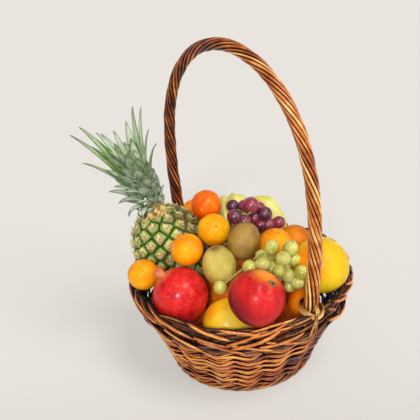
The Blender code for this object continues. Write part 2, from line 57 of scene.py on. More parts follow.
def tint(code):
    """A colour from its usual six figures, as light."""
    parts = [int(code[k:k + 2], 16) / 255 for k in (0, 2, 4)]
    return (*[p / 12.92 if p <= 0.04045 else ((p + 0.055) / 1.055) ** 2.4 for p in parts], 1.0)


class Wire:
    """A value in a finish's nodes, so that maths on it reads as plain maths."""

    def __init__(self, finish, socket):
        self.finish = finish
        self.socket = socket

    def out(self, name):
        return Wire(self.finish, self.socket.node.outputs[name])

    def maths(self, operation, first, second):
        return self.finish.node("ShaderNodeMath", {"operation": operation}, {0: first, 1: second})

    def __add__(self, other):
        return self.maths("ADD", self, other)

    def __sub__(self, other):
        return self.maths("SUBTRACT", self, other)

    def __rsub__(self, other):
        return self.maths("SUBTRACT", other, self)

    def __mul__(self, other):
        return self.maths("MULTIPLY", self, other)

    __radd__ = __add__
    __rmul__ = __mul__

    def between(self, low, high):
        """0 at low, 1 at high, and smooth between."""
        return self.finish.node("ShaderNodeMapRange", {"interpolation_type": "SMOOTHSTEP"},
                                {"Value": self, "From Min": low, "From Max": high})


class Finish:
    """A procedural surface, with constant numbers on the shader's own sockets."""

    def __init__(self, name, **numbers):
        self.material = bpy.data.materials.new(name)
        self.material.use_nodes = True
        self.tree = self.material.node_tree
        self.shader = self.tree.nodes["Principled BSDF"]
        for socket, value in numbers.items():
            self.shader.inputs[socket.replace("_", " ")].default_value = value

    def join(self, value, socket):
        if isinstance(value, Wire):
            self.tree.links.new(value.socket, socket)
        else:
            socket.default_value = tint(value) if isinstance(value, str) else value

    def node(self, kind, settings, sockets, out=0):
        made = self.tree.nodes.new(kind)
        for key, value in settings.items():
            setattr(made, key, value)
        for key, value in sockets.items():
            self.join(value, made.inputs[key])
        return Wire(self, made.outputs[out])

    def place(self, scale=(1, 1, 1), source="Object"):
        """Where a point is, by the object's own coordinates or its UV map, stretched by scale."""
        found = self.node("ShaderNodeTexCoord", {}, {}).out(source)
        return self.node("ShaderNodeMapping", {}, {"Vector": found, "Scale": scale})

    def grain(self, scale, detail=2.0, rough=0.5, place=None):
        """Cloudy noise."""
        return self.node("ShaderNodeTexNoise", {}, {"Vector": place or self.place(), "Scale": scale,
                                                    "Detail": detail, "Roughness": rough})

    def cells(self, scale):
        """How far a point is from the middle of its cell."""
        return self.node("ShaderNodeTexVoronoi", {}, {"Vector": self.place(), "Scale": scale})

    def each(self):
        """A number of its own for every loose part."""
        return self.node("ShaderNodeNewGeometry", {}, {}).out("Random Per Island")

    def painted(self, name):
        """A number painted on the mesh."""
        return self.node("ShaderNodeAttribute", {"attribute_name": name}, {}).out("Fac")

    def ramp(self, value, *stops):
        """Colours along a value, each with its place from 0 to 1."""
        made = self.node("ShaderNodeValToRGB", {}, {"Fac": value})
        colours = made.socket.node.color_ramp.elements
        colours.remove(colours[1])
        colours[0].position = stops[0][0]
        colours[0].color = tint(stops[0][1])
        for place, colour in stops[1:]:
            colours.new(place).color = tint(colour)
        return made

    def mix(self, share, first, second, way="MIX"):
        return self.node("ShaderNodeMix", {"data_type": "RGBA", "blend_type": way},
                         {0: share, 6: first, 7: second}, 2)

    def dress(self, colour, rough=None, height=None, distance=0.0006, strength=1.0):
        """Puts a colour, a roughness and a relief on the shader, and hands over the material."""
        self.join(colour, self.shader.inputs["Base Color"])
        if rough:
            self.join(rough, self.shader.inputs["Roughness"])
        if height:
            relief = {"Height": height, "Distance": distance, "Strength": strength}
            self.join(self.node("ShaderNodeBump", {}, relief), self.shader.inputs["Normal"])
        return self.material


def stained_willow(name, rod_length, tones=("0c0206", "52180a", "bf651a", "fabb50"), gloss=0.30):
    """Peeled rods, stained and varnished: nearly black in their creases and golden on their crests, partly
    stain and wear and partly painted shade and painted highlight.
    """
    made = Finish(name, Coat_Weight=gloss, Coat_Roughness=0.17, Specular_IOR_Level=0.28)
    streak = made.grain(2.0, 4.0, 0.6, made.place((rod_length * 45, 2.5, 1.0), "UV"))
    patch = made.grain(38.0, 3.0)
    fleck = made.grain(420.0)
    # The crest number lightens a rod where it faces outwards and leaves its creases dark: stain and wear, and
    # also painted highlight and painted shade.
    crest = made.painted("crest").between(0.58, 1.0)
    tone = crest * 0.68 + streak * 0.60 + patch * 0.62 + made.each() * 0.38 + fleck * 0.12 - 0.92
    colour = made.ramp(tone, *zip((0.04, 0.28, 0.56, 0.88), tones))
    return made.dress(colour, 0.60 - 0.22 * crest, streak * 0.7 + fleck * 0.3, 0.0006, 0.7)


def paint(piece, name, numbers):
    """Numbers on the points of a piece, from a list or from a rule for one point."""
    if callable(numbers):
        numbers = [numbers(vert) for vert in piece.data.vertices]
    piece.data.attributes.new(name, "FLOAT", "POINT").data.foreach_set("value", numbers)


def settle(piece, finish, node=None):
    """The last step for every piece: its finish, its body and the solid it stands for."""
    piece.data.materials.clear()
    piece.data.materials.append(finish)
    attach(piece, "root")
    if node:
        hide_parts(node)


def begin(name, primitive, **sizes):
    """A new piece from one of Blender's own forms."""
    bpy.ops.object.select_all(action="DESELECT")
    primitive(**sizes)
    made = bpy.context.object
    made.name = made.data.name = name
    return made


def from_middle(place):
    """Which way is outwards on the basket's wall."""
    return Vector((place.x, place.y, 0.02)).normalized()


def lay_rods(name, rods, finish, node=None, sides=8, closed=False, outwards=from_middle):
    """Rods of willow as one piece. Each rod is a list of points, with its half thickness at each."""
    made = begin(name, bpy.ops.curve.primitive_nurbs_path_add)
    made.data.splines.clear()
    made.data.dimensions = "3D"
    made.data.bevel_depth = 1.0
    made.data.bevel_resolution = (sides - 4) // 2
    made.data.use_fill_caps = not closed
    for points, halves in rods:
        spline = made.data.splines.new("POLY")
        spline.points.add(len(points) - 1)
        for knot, place, half in zip(spline.points, points, halves):
            knot.co = (*place, 1.0)
            knot.radius = half
        spline.use_cyclic_u = closed
    bpy.ops.object.convert(target="MESH")
    bpy.ops.object.mode_set(mode="EDIT")
    bpy.ops.mesh.select_all(action="SELECT")
    bpy.ops.mesh.remove_doubles(threshold=0.00001)
    bpy.ops.mesh.normals_make_consistent(inside=False)
    bpy.ops.object.mode_set(mode="OBJECT")
    bpy.ops.object.shade_smooth_by_angle(angle=math.radians(50))

    # How far each point faces outwards; the finishes paint rods golden there and dark in the creases, partly
    # as painted highlight and painted shade.
    def crest(vert):
        facing = vert.normal.dot(outwards(vert.co))
        return 0.5 + 0.5 * max(facing, -0.7 * facing)

    paint(made, "crest", crest)
    settle(made, finish, node)


def even(line, half):
    """A rod of one thickness."""
    return line, [half] * len(line)


oval = 0.972
chance = random.Random(7)


def on_oval(angle, radius, height):
    return Vector((radius * math.cos(angle), radius * oval * math.sin(angle), height))


spoke_count = 12
spoke_height = 0.0044
spoke_half = 0.0018
spoke_points = (-0.110, -0.06, -0.02, 0.02, 0.06, 0.110)
ring_count = 17
ring_first = 0.014
ring_gap = 0.0057
ring_height = 0.0045
ring_wave = 0.0015
ring_half = 0.0026
ring_steps = spoke_count * 6
rods = []
for k in range(spoke_count):
    angle = math.pi * k / spoke_count
    height = spoke_height + 0.0003 * (k % 2)
    rods.append(even([on_oval(angle, reach, height) for reach in spoke_points], spoke_half))
for ring in range(ring_count):
    line = []
    for step in range(ring_steps):
        angle = math.tau * step / ring_steps
        wave = math.cos(spoke_count * angle + math.pi * ring)
        line.append(on_oval(angle, ring_first + ring * ring_gap, ring_height + ring_wave * wave))
    rods.append(even(line + [line[0]], ring_half))
lay_rods("woven_base", rods, stained_willow("base_stain", 0.4), "basket_base", sides=6)

# ---------------------------------------------------------------- Foot
# Four rods run round the foot, each passing slowly over and under the others. They hide the ends of the
# spokes and stakes and lift the basket off the table.

foot_radius = 0.1172
foot_height = 0.0062
foot_swing = 0.0034
foot_half = 0.0025
foot_strands = 4
foot_turns = 9
foot_steps = 160


def wobble(*place):
    """A smooth chance number from -1 to 1."""
    return noise.noise(Vector(place))


rods = []
for strand in range(foot_strands):
    line = []
    halves = []
    for step in range(foot_steps):
        angle = math.tau * step / foot_steps
        turn = foot_turns * angle + math.tau * strand / foot_strands
        radius = foot_radius + foot_swing * math.cos(turn)
        line.append(on_oval(angle, radius, foot_height + foot_swing * math.sin(turn)))
        halves.append(foot_half + 0.0003 * wobble(angle * 4, strand, 3.0))
    rods.append((line, halves))
foot_stain = stained_willow("foot_stain", 0.75, ("0a0205", "40120a", "984e18", "e0a048"))
lay_rods("foot_wale", rods, foot_stain, "foot_ring", closed=True)

# ---------------------------------------------------------------- Wall
# Upright stakes with rows of thin willow between them. Each rod passes outside two stakes and inside the
# next, and is beaten down hard at every stake, so that the rows run in sharp chevrons. New rods start where
# old ones end, with both ends tucked inside.

stake_count = 20
stake_inset = 0.0045
stake_half = 0.0027
stake_heights = [0.009 + 0.0118 * step for step in range(10)]
row_count = 24
first_row = 0.0140
row_step = 0.00436
weaver_inset = 0.0042
weaver_swing = 0.0046
weaver_half = 0.00218
chevron_height = 0.0026
tuck_depth = 0.005
overlap = 0.05


def unit(value):
    """A number kept from 0 to 1."""
    return max(0.0, min(1.0, value))


def wall_radius(height):
    """The wall's outer radius, which flares a little faster towards the rim."""
    return 0.118 + 0.046 * (max(height, 0.0) / 0.113) ** 1.15


def from_wall(place):
    """Outwards, and longer where a rod stands out between the stakes, so that it is paler there (wear, and
    painted light, with painted shade where it is recessed), and shorter on the lowest rows and on the
    camera's right-hand side, as painted shade.
    """
    radius = math.hypot(place.x, place.y / oval)
    proud = unit(0.5 + (radius - wall_radius(place.z) + weaver_inset) / 0.010)
    # Painted shade: darker on the side to the camera's right.
    right_side_shade = 0.40 * max(0.0, (0.79 * place.x - 0.61 * place.y) / radius) ** 1.5
    # Painted shade: darker on the lowest rows.
    low = 0.76 + 0.24 * min(1.0, place.z / 0.06)
    return from_middle(place) * (0.58 + 0.48 * proud) * low * (1.0 - right_side_shade)


rods = []
for k in range(stake_count):
    angle = math.tau * k / stake_count
    rods.append(even([on_oval(angle, wall_radius(z) - stake_inset, z) for z in stake_heights], stake_half))
stake_stain = stained_willow("stake_stain", 0.12, ("0a0306", "2c0f0a", "7a3d18", "b87a38"))
lay_rods("stakes", rods, stake_stain, sides=6)

rods = []
for row in range(row_count):
    height = first_row + row * row_step
    starts = sorted(chance.uniform(0.0, math.tau) for _ in range(3))
    for start, end in zip(starts, starts[1:] + [starts[0] + math.tau]):
        steps = max(int((end - start) / (math.tau / stake_count / 8)), 6)
        thick = weaver_half * chance.uniform(0.80, 1.18)
        line = []
        halves = []
        for step in range(steps + 1):
            angle = start - overlap + (end - start + 2 * overlap) * step / steps
            place = angle * stake_count / math.tau
            k = math.floor(place)
            ease = 0.5 - 0.5 * math.cos(math.pi * (place - k))
            here, after = [-1.0 if (stake + row) % 3 == 0 else 1.0 for stake in (k, k + 1)]
            side = here + (after - here) * ease
            chevron = abs(place - round(place)) * 2.0
            tuck = min(1.0, step / 5, (steps - step) / 5)
            level = height + chevron_height * (2.0 * chevron - 1.0)
            level += 0.0009 * wobble(angle * 4, row * 7.7, 1.0)
            radius = wall_radius(height) - weaver_inset + weaver_swing * side - tuck_depth * (1.0 - tuck)
            line.append(on_oval(angle, radius, level))
            halves.append(thick * (1.0 + 0.14 * wobble(angle * 6, row * 3.1, 9.0)) * (0.7 + 0.3 * tuck))
        rods.append((line, halves))
weaver_stain = stained_willow("weaver_stain", 0.3, ("0e0206", "5a190b", "bc5e1a", "ffbc52"), 0.42)
lay_rods("weavers", rods, weaver_stain, "basket_wall", outwards=from_wall)

# ---------------------------------------------------------------- Border
# The stakes end in an open border. They lean across each other inside two pairs of rods that run round the
# rim, then bend over the upper pair and lie outside with their ends cut off at a slant.

low_radius = 0.1675
low_height = 0.1185
top_radius = 0.1735
top_height = 0.1555
rim_rise = top_height - low_height
rim_flare = top_radius - low_radius
rim_steps = 144
lean_count = 48
leans = (0.15, -0.17, 0.05, -0.09)
lean_halves = [0.0027, 0.0027, 0.0026, 0.0025, 0.0022]
end_shape = (0.92, 1, 1, 1, 1, 1, 1, 1, 0.9, 0.72, 0.15)
laid_count = 40
hoop_room = 0.11


def sag(angle):
    """How far the rim has sunk, on the side behind the grapefruit."""
    return 0.0085 * max(0.0, math.cos(angle - 0.85)) ** 3


rods = []
for strand in range(2):
    for radius, height, swing, half, turns, dip in (
            (low_radius, low_height, 0.0026, 0.0030, 11, 0.0),
            (top_radius, top_height, 0.0023, 0.0026, 9, 0.0022),
            (low_radius + 0.0004, 0.1335, 0.0020, 0.0022, 13, 0.003),
            (low_radius + 0.0030, 0.1460, 0.0018, 0.0020, 10, 0.003)):
        line = []
        for step in range(rim_steps):
            angle = math.tau * step / rim_steps
            turn = turns * angle + math.pi * strand + turns
            level = height + dip * math.cos(11 * angle) * abs(math.cos(angle)) + swing * math.sin(turn)
            level -= sag(angle) * (height - low_height) / rim_rise
            line.append(on_oval(angle, radius + swing * math.cos(turn), level))
        rods.append(even(line, half))
# The rim rings get darker tones than the rods laid over them, as painted shade inside the border.
shaded_ring_stain = stained_willow("shaded_ring_stain", 1.0, ("0a0305", "2a0d08", "6c3412", "c2853a"))
lay_rods("rim_rings", rods, shaded_ring_stain, closed=True)

rods = []
for k in range(lean_count):
    start = math.tau * (k + 0.5 * chance.random()) / lean_count
    line = []
    for step in range(5):
        part = step / 4
        height = low_height - 0.012 + (rim_rise + 0.0095 - sag(start)) * part
        radius = low_radius - 0.0062 + rim_flare * part - 0.0015 * (k % 2)
        line.append(on_oval(start + leans[k % 4] * part, radius, height))
    rods.append((line, lean_halves))
# The leaning stakes are nearly black: painted shade, a dark backing for the inside of the border behind the
# laid rods.
shaded_border_stake_stain = stained_willow("shaded_border_stake_stain", 0.05, ("060204", "1a0806", "4a220f", "8a5226"))
lay_rods("border_stakes", rods, shaded_border_stake_stain, sides=6)


def laid_rod(points, thick, bow=0.0030):
    """A cut rod over the border, by its angle and its level between the low ring (0) and the top one (1)."""
    line = []
    halves = []
    for step, shape in enumerate(end_shape):
        part = step / 10
        knot = min(int(part * (len(points) - 1)), len(points) - 2)
        share = part * (len(points) - 1) - knot
        (a0, l0), (a1, l1) = points[knot], points[knot + 1]
        angle = a0 + (a1 - a0) * share
        level = l0 + (l1 - l0) * share
        radius = low_radius + 0.0050 + rim_flare * level + bow * math.sin(math.pi * part)
        if level > 1.0:
            radius -= 0.010 * (level - 1.0) / 0.2
        line.append(on_oval(angle, radius, low_height + (rim_rise - sag(angle)) * level))
        halves.append(thick * shape)
    return line, halves


def clear_of_hoop(angle):
    return abs(abs(math.remainder(angle, math.tau)) - math.pi / 2) > hoop_room


rods = [laid_rod(points, *sizes) for *points, sizes in (
    ((2.95, 1.12), (3.16, 0.98), (3.34, 0.74), [0.0033]),
    ((3.08, 1.15), (3.37, 0.94), (3.61, 0.52), [0.0034]),
    ((3.56, 1.14), (3.78, 0.98), (3.93, 0.68), [0.0034]),
    ((3.84, 1.10), (4.04, 1.06), (4.21, 0.92), [0.0030]),
    ((3.62, 0.62), (3.76, 0.50), (3.93, 0.30), [0.0030, 0.0015]),
    ((3.86, 0.34), (4.11, 0.90), (4.44, 1.16), [0.0029]),
    ((3.93, 0.24), (4.16, 0.62), (4.35, 1.02), [0.0036, 0.0042]),
    ((4.16, 0.22), (4.38, 0.34), (4.57, 0.44), [0.0031, 0.0030]),
    ((4.05, 1.02), (4.26, 1.14), (4.50, 1.16), [0.0026, 0.0010]),
    ((3.98, 0.98), (4.20, 1.02), (4.46, 0.98), [0.0026, 0.0008]),
    ((4.80, 1.05), (4.86, 0.92), (4.95, 0.55), [0.0028]),
    ((4.86, 0.30), (5.05, 0.02), (5.30, 0.10), [0.0030]),
)]
for k in range(laid_count):
    start = math.tau * (k + chance.uniform(-0.25, 0.25)) / laid_count
    sweep = chance.uniform(0.30, 0.46)
    if not all(clear_of_hoop(start + sweep * part) for part in (0.0, 0.25, 0.5, 0.75, 1.0)):
        continue
    if 2.85 < start % math.tau < 4.72:
        if k % 2:
            low_points = (start, 0.46), (start + sweep / 2, 0.22), (start + sweep, -0.06)
            rods.append(laid_rod(low_points, 0.0026, 0.0008))
        continue
    first = chance.uniform(0.98, 1.14)
    last = chance.uniform(0.15, 0.62)
    points = (start, first), (start + sweep * 0.5, (first + last) / 2 + 0.12), (start + sweep, last)
    rods.append(laid_rod(points, chance.uniform(0.0028, 0.0036)))
border_stain = stained_willow("border_stain", 0.12, ("140405", "66220a", "c66a18", "fabc56"), 0.4)
lay_rods("border_rods", rods, border_stain, "rim_border")

# ---------------------------------------------------------------- Hoop handle
# A thick core rod, hidden by ten thin ones that are wound round it side by side. Their ends are pushed
# down into the wall beside two stakes, where they lie straight. The strands are painted darker on the back
# leg and paler on the front one, as painted shade and light, and the core is painted nearly black as shade.

hoop_foot = 0.1545
hoop_spring = 0.158
hoop_rise = 0.3605
hoop_bulge = 0.40
hoop_tilt = 0.05
hoop_turns = 6.0
hoop_steps = 200
strand_count = 10
strand_share = 0.288
core_share = 0.74
rope_half = 0.0070


def hoop_point(turn):
    sine = max(math.sin(turn), 0.0)
    rise = hoop_rise * sine ** (2.0 / 2.25)
    across = hoop_foot * math.cos(turn) * (1.0 + hoop_bulge * sine)
    return Vector((-math.tan(hoop_tilt) * rise, across, hoop_spring + rise))


legs = [Vector((0.0, 0.1250, 0.0880)), Vector((0.0, 0.1360, 0.1120)), Vector((0.0, 0.1475, 0.1370))]
coarse = legs + [hoop_point(math.pi * k / 40) for k in range(41)]
coarse += [Vector((p.x, -p.y, p.z)) for p in reversed(legs)]


def running_lengths(points):
    """How far along a line each of its points is."""
    runs = [0.0]
    for first, second in zip(points, points[1:]):
        runs.append(runs[-1] + (second - first).length)
    return runs


runs = running_lengths(coarse)
total = runs[-1]


def along_hoop(distance):
    """A point on the hoop's middle line, by its distance from the back end."""
    k = max(i for i in range(len(runs) - 1) if runs[i] <= distance + 1e-9)
    share = (distance - runs[k]) / (runs[k + 1] - runs[k])
    before = coarse[max(k - 1, 0)]
    after = coarse[min(k + 2, len(coarse) - 1)]
    a, b = coarse[k], coarse[k + 1]
    return 0.5 * (2 * a + (b - before) * share + (2 * before - 5 * a + 4 * b - after) * share ** 2
                  + (3 * a - before - 3 * b + after) * share ** 3)


def finder_of(points):
    """A search for the nearest of some points."""
    tree = KDTree(len(points))
    for k, place in enumerate(points):
        tree.insert(place, k)
    tree.balance()
    return tree


strands = [[] for _ in range(strand_count)]
core = []
ropes = []
twist = 0.4
for step in range(hoop_steps + 1):
    distance = total * step / hoop_steps
    middle = along_hoop(distance)
    ahead = (along_hoop(min(distance + 0.002, total)) - along_hoop(max(distance - 0.002, 0.0))).normalized()
    sideways = Vector((1.0, 0.0, 0.0))
    sideways = (sideways - ahead * sideways.dot(ahead)).normalized()
    outward = ahead.cross(sideways)
    from_end = min(distance, total - distance)
    wound = unit((from_end - 0.085) / 0.07)
    twist -= math.tau * hoop_turns / hoop_steps * (0.15 + 0.85 * wound)
    rope = rope_half + 0.0016 * abs(2.0 * step / hoop_steps - 1.0) ** 2 + 0.0005 * (1.0 - wound)
    core.append(middle)
    ropes.append(rope)
    for k, strand in enumerate(strands):
        angle = twist + math.tau * k / strand_count
        off = rope * (1.0 + 0.08 * wobble(k * 3.7, distance * 14.0, 0.0))
        strand.append(middle + (sideways * math.cos(angle) + outward * math.sin(angle)) * off)
hoop_line = finder_of(core)


def from_hoop(place):
    """Away from the hoop's middle line, shorter on the back leg and longer on the front one: painted shade on
    the back leg and painted light on the front.
    """
    shade = 0.75 + 0.40 * unit((0.03 - place.y) / 0.13)
    return (place - hoop_line.find(place)[0]).normalized() * shade


rods = []
for k, strand in enumerate(strands):
    thick = strand_share * chance.uniform(0.86, 1.14)
    halves = [thick * rope * (1.0 + 0.10 * wobble(k * 5.1, s * 0.05, 2.0)) for s, rope in enumerate(ropes)]
    rods.append((strand, halves))
hoop_stain = stained_willow("hoop_stain", 1.0, ("100304", "64200a", "c46c22", "ffd884"), 0.40)
# The hidden core is nearly black, painted shade in the gaps between the strands.
shaded_core_stain = stained_willow("shaded_core_stain", 1.0, ("060204", "0c0405", "18080a", "2c120c"))
lay_rods("hoop_rods", rods, hoop_stain, "handle", outwards=from_hoop)
lay_rods("hoop_core", [(core, [core_share * rope for rope in ropes])], shaded_core_stain, outwards=from_hoop)

# ---------------------------------------------------------------- Lashings
# Skeins of split willow, wrapped side by side round each leg of the hoop and the border, and knotted
# outside, where a few of their ends are left.

wrap_steps = 32
wrap_half = 0.00150
skein_gap = 0.0021


def from_foot(place):
    """Which way is outwards from the leg of the hoop."""
    return Vector((place.x, place.y - math.copysign(hoop_foot, place.y), 0.004)).normalized()


skein_stain = stained_willow("skein_stain", 0.2, ("240c04", "8e521e", "d09444", "f8d088"), 0.35)
for side, name, node in ((-1.0, "lashing_front", "handle_tie_front"),
                         (1.0, "lashing_back", "handle_tie_back")):
    rods = []
    for lay in range(5):
        line = []
        for step in range(wrap_steps):
            angle = math.tau * step / wrap_steps
            inside = 0.5 - 0.5 * math.sin(angle)
            x = -0.0022 + (0.0150 + 0.0004 * (lay % 2)) * math.cos(angle)
            y = -0.1583 + (0.0182 + 0.0004 * (lay % 2)) * math.sin(angle)
            knotted = math.exp(-((angle - 4.3) / 0.45) ** 2)
            z = top_height + 0.0060 - 0.0045 * inside
            z += (lay - 2) * skein_gap * (1.0 - 0.45 * knotted) - 0.0030 * knotted
            line.append((x, -side * y, z))
        rods.append(even(line + [line[0]], wrap_half))
    for tail in range(4):
        bend_x, end_x = (-0.0165, -0.0235) if tail < 2 else (-0.0115, -0.0125)
        aside = (tail % 2 - 0.5) * 0.0026
        line = ((-0.0100 + aside, side * 0.1755, top_height + 0.0030),
                (bend_x + aside, side * 0.1790, top_height - 0.0060),
                (end_x + aside * 1.3, side * 0.1770, top_height - 0.0245 - 0.0012 * tail))
        rods.append((line, [0.0011, 0.0011, 0.0008]))
    for end in range(3):
        x = -0.0075 + 0.0026 * end
        line = ((x, side * 0.1745, top_height + 0.0005), (x + 0.0012, side * 0.1712, top_height + 0.0080),
                (x + 0.0030, side * 0.1672, top_height + 0.0160 - 0.002 * end))
        rods.append((line, [0.0012, 0.0011, 0.0007]))
    lay_rods(name, rods, skein_stain, node, sides=6, outwards=from_foot)

# ---------------------------------------------------------------- Citrus
# Eight mandarins that show, and larger oranges under them that fill the basket. Each is a slightly flattened
# ball with furrows round its stem, a dry green button there, and a waxy peel pitted with oil glands.

button_sides = 10
button_outline = ((1.0, -0.03), (0.9, 0.012), (0.45, 0.022), (0.3, -0.002))


def citrus_peel(name, deep, bright, glow, rough=0.34, pore=520.0):
    made = Finish(name, Subsurface_Weight=0.12, Subsurface_Radius=(0.8, 0.4, 0.05), Subsurface_Scale=0.003,
                  Coat_Weight=0.11, Coat_Roughness=0.22, Specular_IOR_Level=0.15)
    broad = made.grain(26.0)
    gland = made.cells(pore).between(0.05, 0.62)
    colour = made.mix(broad.between(0.36, 0.66), deep, bright)
    colour = made.mix(made.grain(75.0, 3.0).between(0.55, 0.78) * 0.5, colour, glow)
    colour = made.mix((1 - gland) * 0.22, colour, deep, "MULTIPLY")
    return made.dress(colour, rough + 0.10 * made.grain(900.0, 1.0), gland * 0.9 + broad * 0.5, 0.0007, 0.85)


def turned_to(axis):
    """The turn that brings +Z to an axis."""
    return Vector(axis).normalized().to_track_quat("Z", "Y").to_matrix()


def unit_ball(name, detail):
    """A fine ball of radius 1 at the origin."""
    piece = begin(name, bpy.ops.mesh.primitive_ico_sphere_add, subdivisions=detail, radius=1.0)
    bpy.ops.object.shade_smooth()
    return piece


def shape_ball(piece, middle, turn, shape):
    """Gives a unit ball its form, by a rule in its own frame with the stem up, and puts it in its place."""
    for vert in piece.data.vertices:
        vert.co = middle + turn @ shape(vert.co.copy())


def grow(name, node, stem, detail, shape, finish):
    """A fruit of the size of its CAD ball."""
    low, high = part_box(node)
    middle = (low + high) / 2
    size = sum(high - low) / 6
    turn = turned_to(stem)
    piece = unit_ball(name, detail)
    shape_ball(piece, middle, turn, lambda p: shape(p) * size)
    settle(piece, finish, node)
    return piece, middle, turn, size


def pit(distance, width):
    """1 at a place and falling off round it."""
    return math.exp(-(distance / width) ** 2)


def citrus_shape(seed, squash, furrow):
    def shape(p):
        flat = math.hypot(p.x, p.y)
        around = math.atan2(p.y, p.x)
        r = 1.02 + 0.030 * noise.noise(p * 1.3 + Vector((seed * 5.0, 0, 0)))
        r += 0.004 * noise.noise(p * 7.0 + Vector((0, seed * 3.0, 0)))
        if p.z > 0:
            r -= 0.085 * pit(flat, 0.16)
            r -= furrow * pit(flat, 0.34) * (0.5 + 0.5 * math.cos(9 * around + seed))
        else:
            r -= 0.030 * pit(flat, 0.12)
        return Vector((p.x * r, p.y * r, p.z * r * squash))
    return shape


def polar(angle, radius, height=0.0):
    """A point by its angle round Z, its distance from Z and its height."""
    return Vector((radius * math.cos(angle), radius * math.sin(angle), height))


def skin(mesh, rings, closed=True):
    """Faces from each ring of points to the next, and over both ends of a closed form."""
    for lower, upper in zip(rings, rings[1:]):
        for k in range(len(lower) - (0 if closed else 1)):
            after = (k + 1) % len(lower)
            mesh.faces.new((lower[k], lower[after], upper[after], upper[k]))
    if closed:
        mesh.faces.new(list(reversed(rings[0])))
        mesh.faces.new(rings[-1])


def piece_from(name, mesh, **painted):
    """A smooth piece from points and faces, with the numbers that are painted on its points."""
    data = bpy.data.meshes.new(name)
    mesh.to_mesh(data)
    mesh.free()
    data.shade_smooth()
    piece = bpy.data.objects.new(name, data)
    bpy.context.scene.collection.objects.link(piece)
    bpy.ops.object.select_all(action="DESELECT")
    piece.select_set(True)
    bpy.context.view_layer.objects.active = piece
    for key, numbers in painted.items():
        paint(piece, key, numbers)
    return piece


mandarins = (
    ("left", (-0.2, -0.2, 1.0), "f28a00", "ffae08", 0.93),
    ("middle", (-0.4, 0.1, 1.0), "f78c00", "ffb000", 0.96),
    ("upper", (-0.31, -0.70, 0.63), "f79600", "ffbe0a", 0.95),
    ("top", (-0.45, -0.30, 0.84), "ea5600", "f87a04", 0.95),
    ("right", (0.1, -0.2, 1.0), "f68c00", "feb006", 0.95),
    ("rear", (0.2, 0.1, 1.0), "cc6600", "dc8200", 0.94),
    ("low", (0.4, -0.6, 0.7), "ff6c04", "ff8c0c", 0.96),
    ("back", (0.3, 0.5, 1.0), "e46204", "f48a08", 0.95),
)
buttons = bmesh.new()
for seed, (which, stem, deep, bright, squash) in enumerate(mandarins):
    peel = citrus_peel("mandarin_peel_" + which, deep, bright, "ffca3c")
    piece, middle, turn, size = grow("mandarin_fruit_" + which, "mandarin_" + which, stem, 5,
                                     citrus_shape(seed, squash, 0.022), peel)
    place = middle + turn @ Vector((0, 0, size * squash * 0.935))
    rings = []
    for share, height in button_outline:
        ring = []
        for k in range(button_sides):
            spot = polar(math.tau * k / button_sides, (0.095 if k % 2 else 0.065) * share, height)
            ring.append(buttons.verts.new(place + turn @ (spot * size)))
        rings.append(ring)
    skin(buttons, rings)
piece = piece_from("mandarin_buttons", buttons)
piece.data.shade_flat()
made = Finish("dry_button", Roughness=0.8)
settle(piece, made.dress(made.ramp(made.grain(500.0), (0.35, "5b5a2c"), (0.65, "b9b07a"))))

# The oranges underneath get a darker peel than the mandarins, as painted shade where they show between the
# fruit above.
shaded_orange_peel = citrus_peel("shaded_orange_peel", "b84a02", "d46a06", "e68c14", 0.4, 430.0)
for k in range(1, 12):
    grow(f"orange_{k:02d}", f"lower_citrus_{k:02d}", (0.2, 0.1 * k, 1.0), 4,
         citrus_shape(20 + k, 0.98, 0.012), shaded_orange_peel)

# ---------------------------------------------------------------- Pomegranate
# A leathery red ball with faint flats, mottled and finely pitted. Its flower end keeps a short open crown
# of six pointed teeth, dried to a dull orange.

pomegranate_middle = Vector((-0.1290, -0.0120, 0.1670))
pomegranate_size = 0.0420
pomegranate_turn = turned_to((-0.42, 0.47, 0.78))
teeth = 6
tooth_points = teeth * 6
crown_outline = ((1.00, 0.20, 0.0, 0.0), (1.08, 0.170, 0.0, 0.0), (1.16, 0.175, 0.0, 0.0),
                 (1.21, 0.205, 0.09, 0.03), (1.20, 0.17, 0.09, 0.03), (1.16, 0.135, 0.0, 0.0),
                 (1.09, 0.105, 0.0, 0.0))


def pomegranate_shape(p):
    side = math.cos(5.0 * math.atan2(p.y, p.x))
    flat = math.hypot(p.x, p.y)
    r = 1.0 - 0.008 * (1.0 - side) * flat + 0.014 * noise.noise(p * 1.6) + 0.003 * noise.noise(p * 6.0)
    if p.z > 0:
        r += 0.06 * pit(flat, 0.22)
    return p * r * pomegranate_size


made = Finish("pomegranate_skin", Coat_Weight=0.22, Coat_Roughness=0.16, Specular_IOR_Level=0.16)
mottle = made.grain(60.0, 5.0, 0.65)
dots = made.grain(260.0, 3.0, 0.6)
colour = made.ramp(mottle, (0.30, "980a0c"), (0.46, "c8161a"), (0.62, "dc2420"), (0.80, "ee5a44"))
colour = made.mix(dots.between(0.54, 0.72) * 0.32, colour, "f2604c")
colour = made.mix(made.painted("bloom"), colour, made.ramp(mottle, (0.3, "b0503a"), (0.7, "dc8a58")))
pomegranate_skin = made.dress(colour, 0.30 + 0.22 * mottle, mottle * 0.6 + dots * 0.4, 0.0008, 0.75)

piece = unit_ball("pomegranate_fruit", 6)
paint(piece, "bloom", lambda vert: 0.85 * unit((vert.co.z - 0.90) / 0.09))
shape_ball(piece, pomegranate_middle, pomegranate_turn, pomegranate_shape)
settle(piece, pomegranate_skin, "pomegranate")

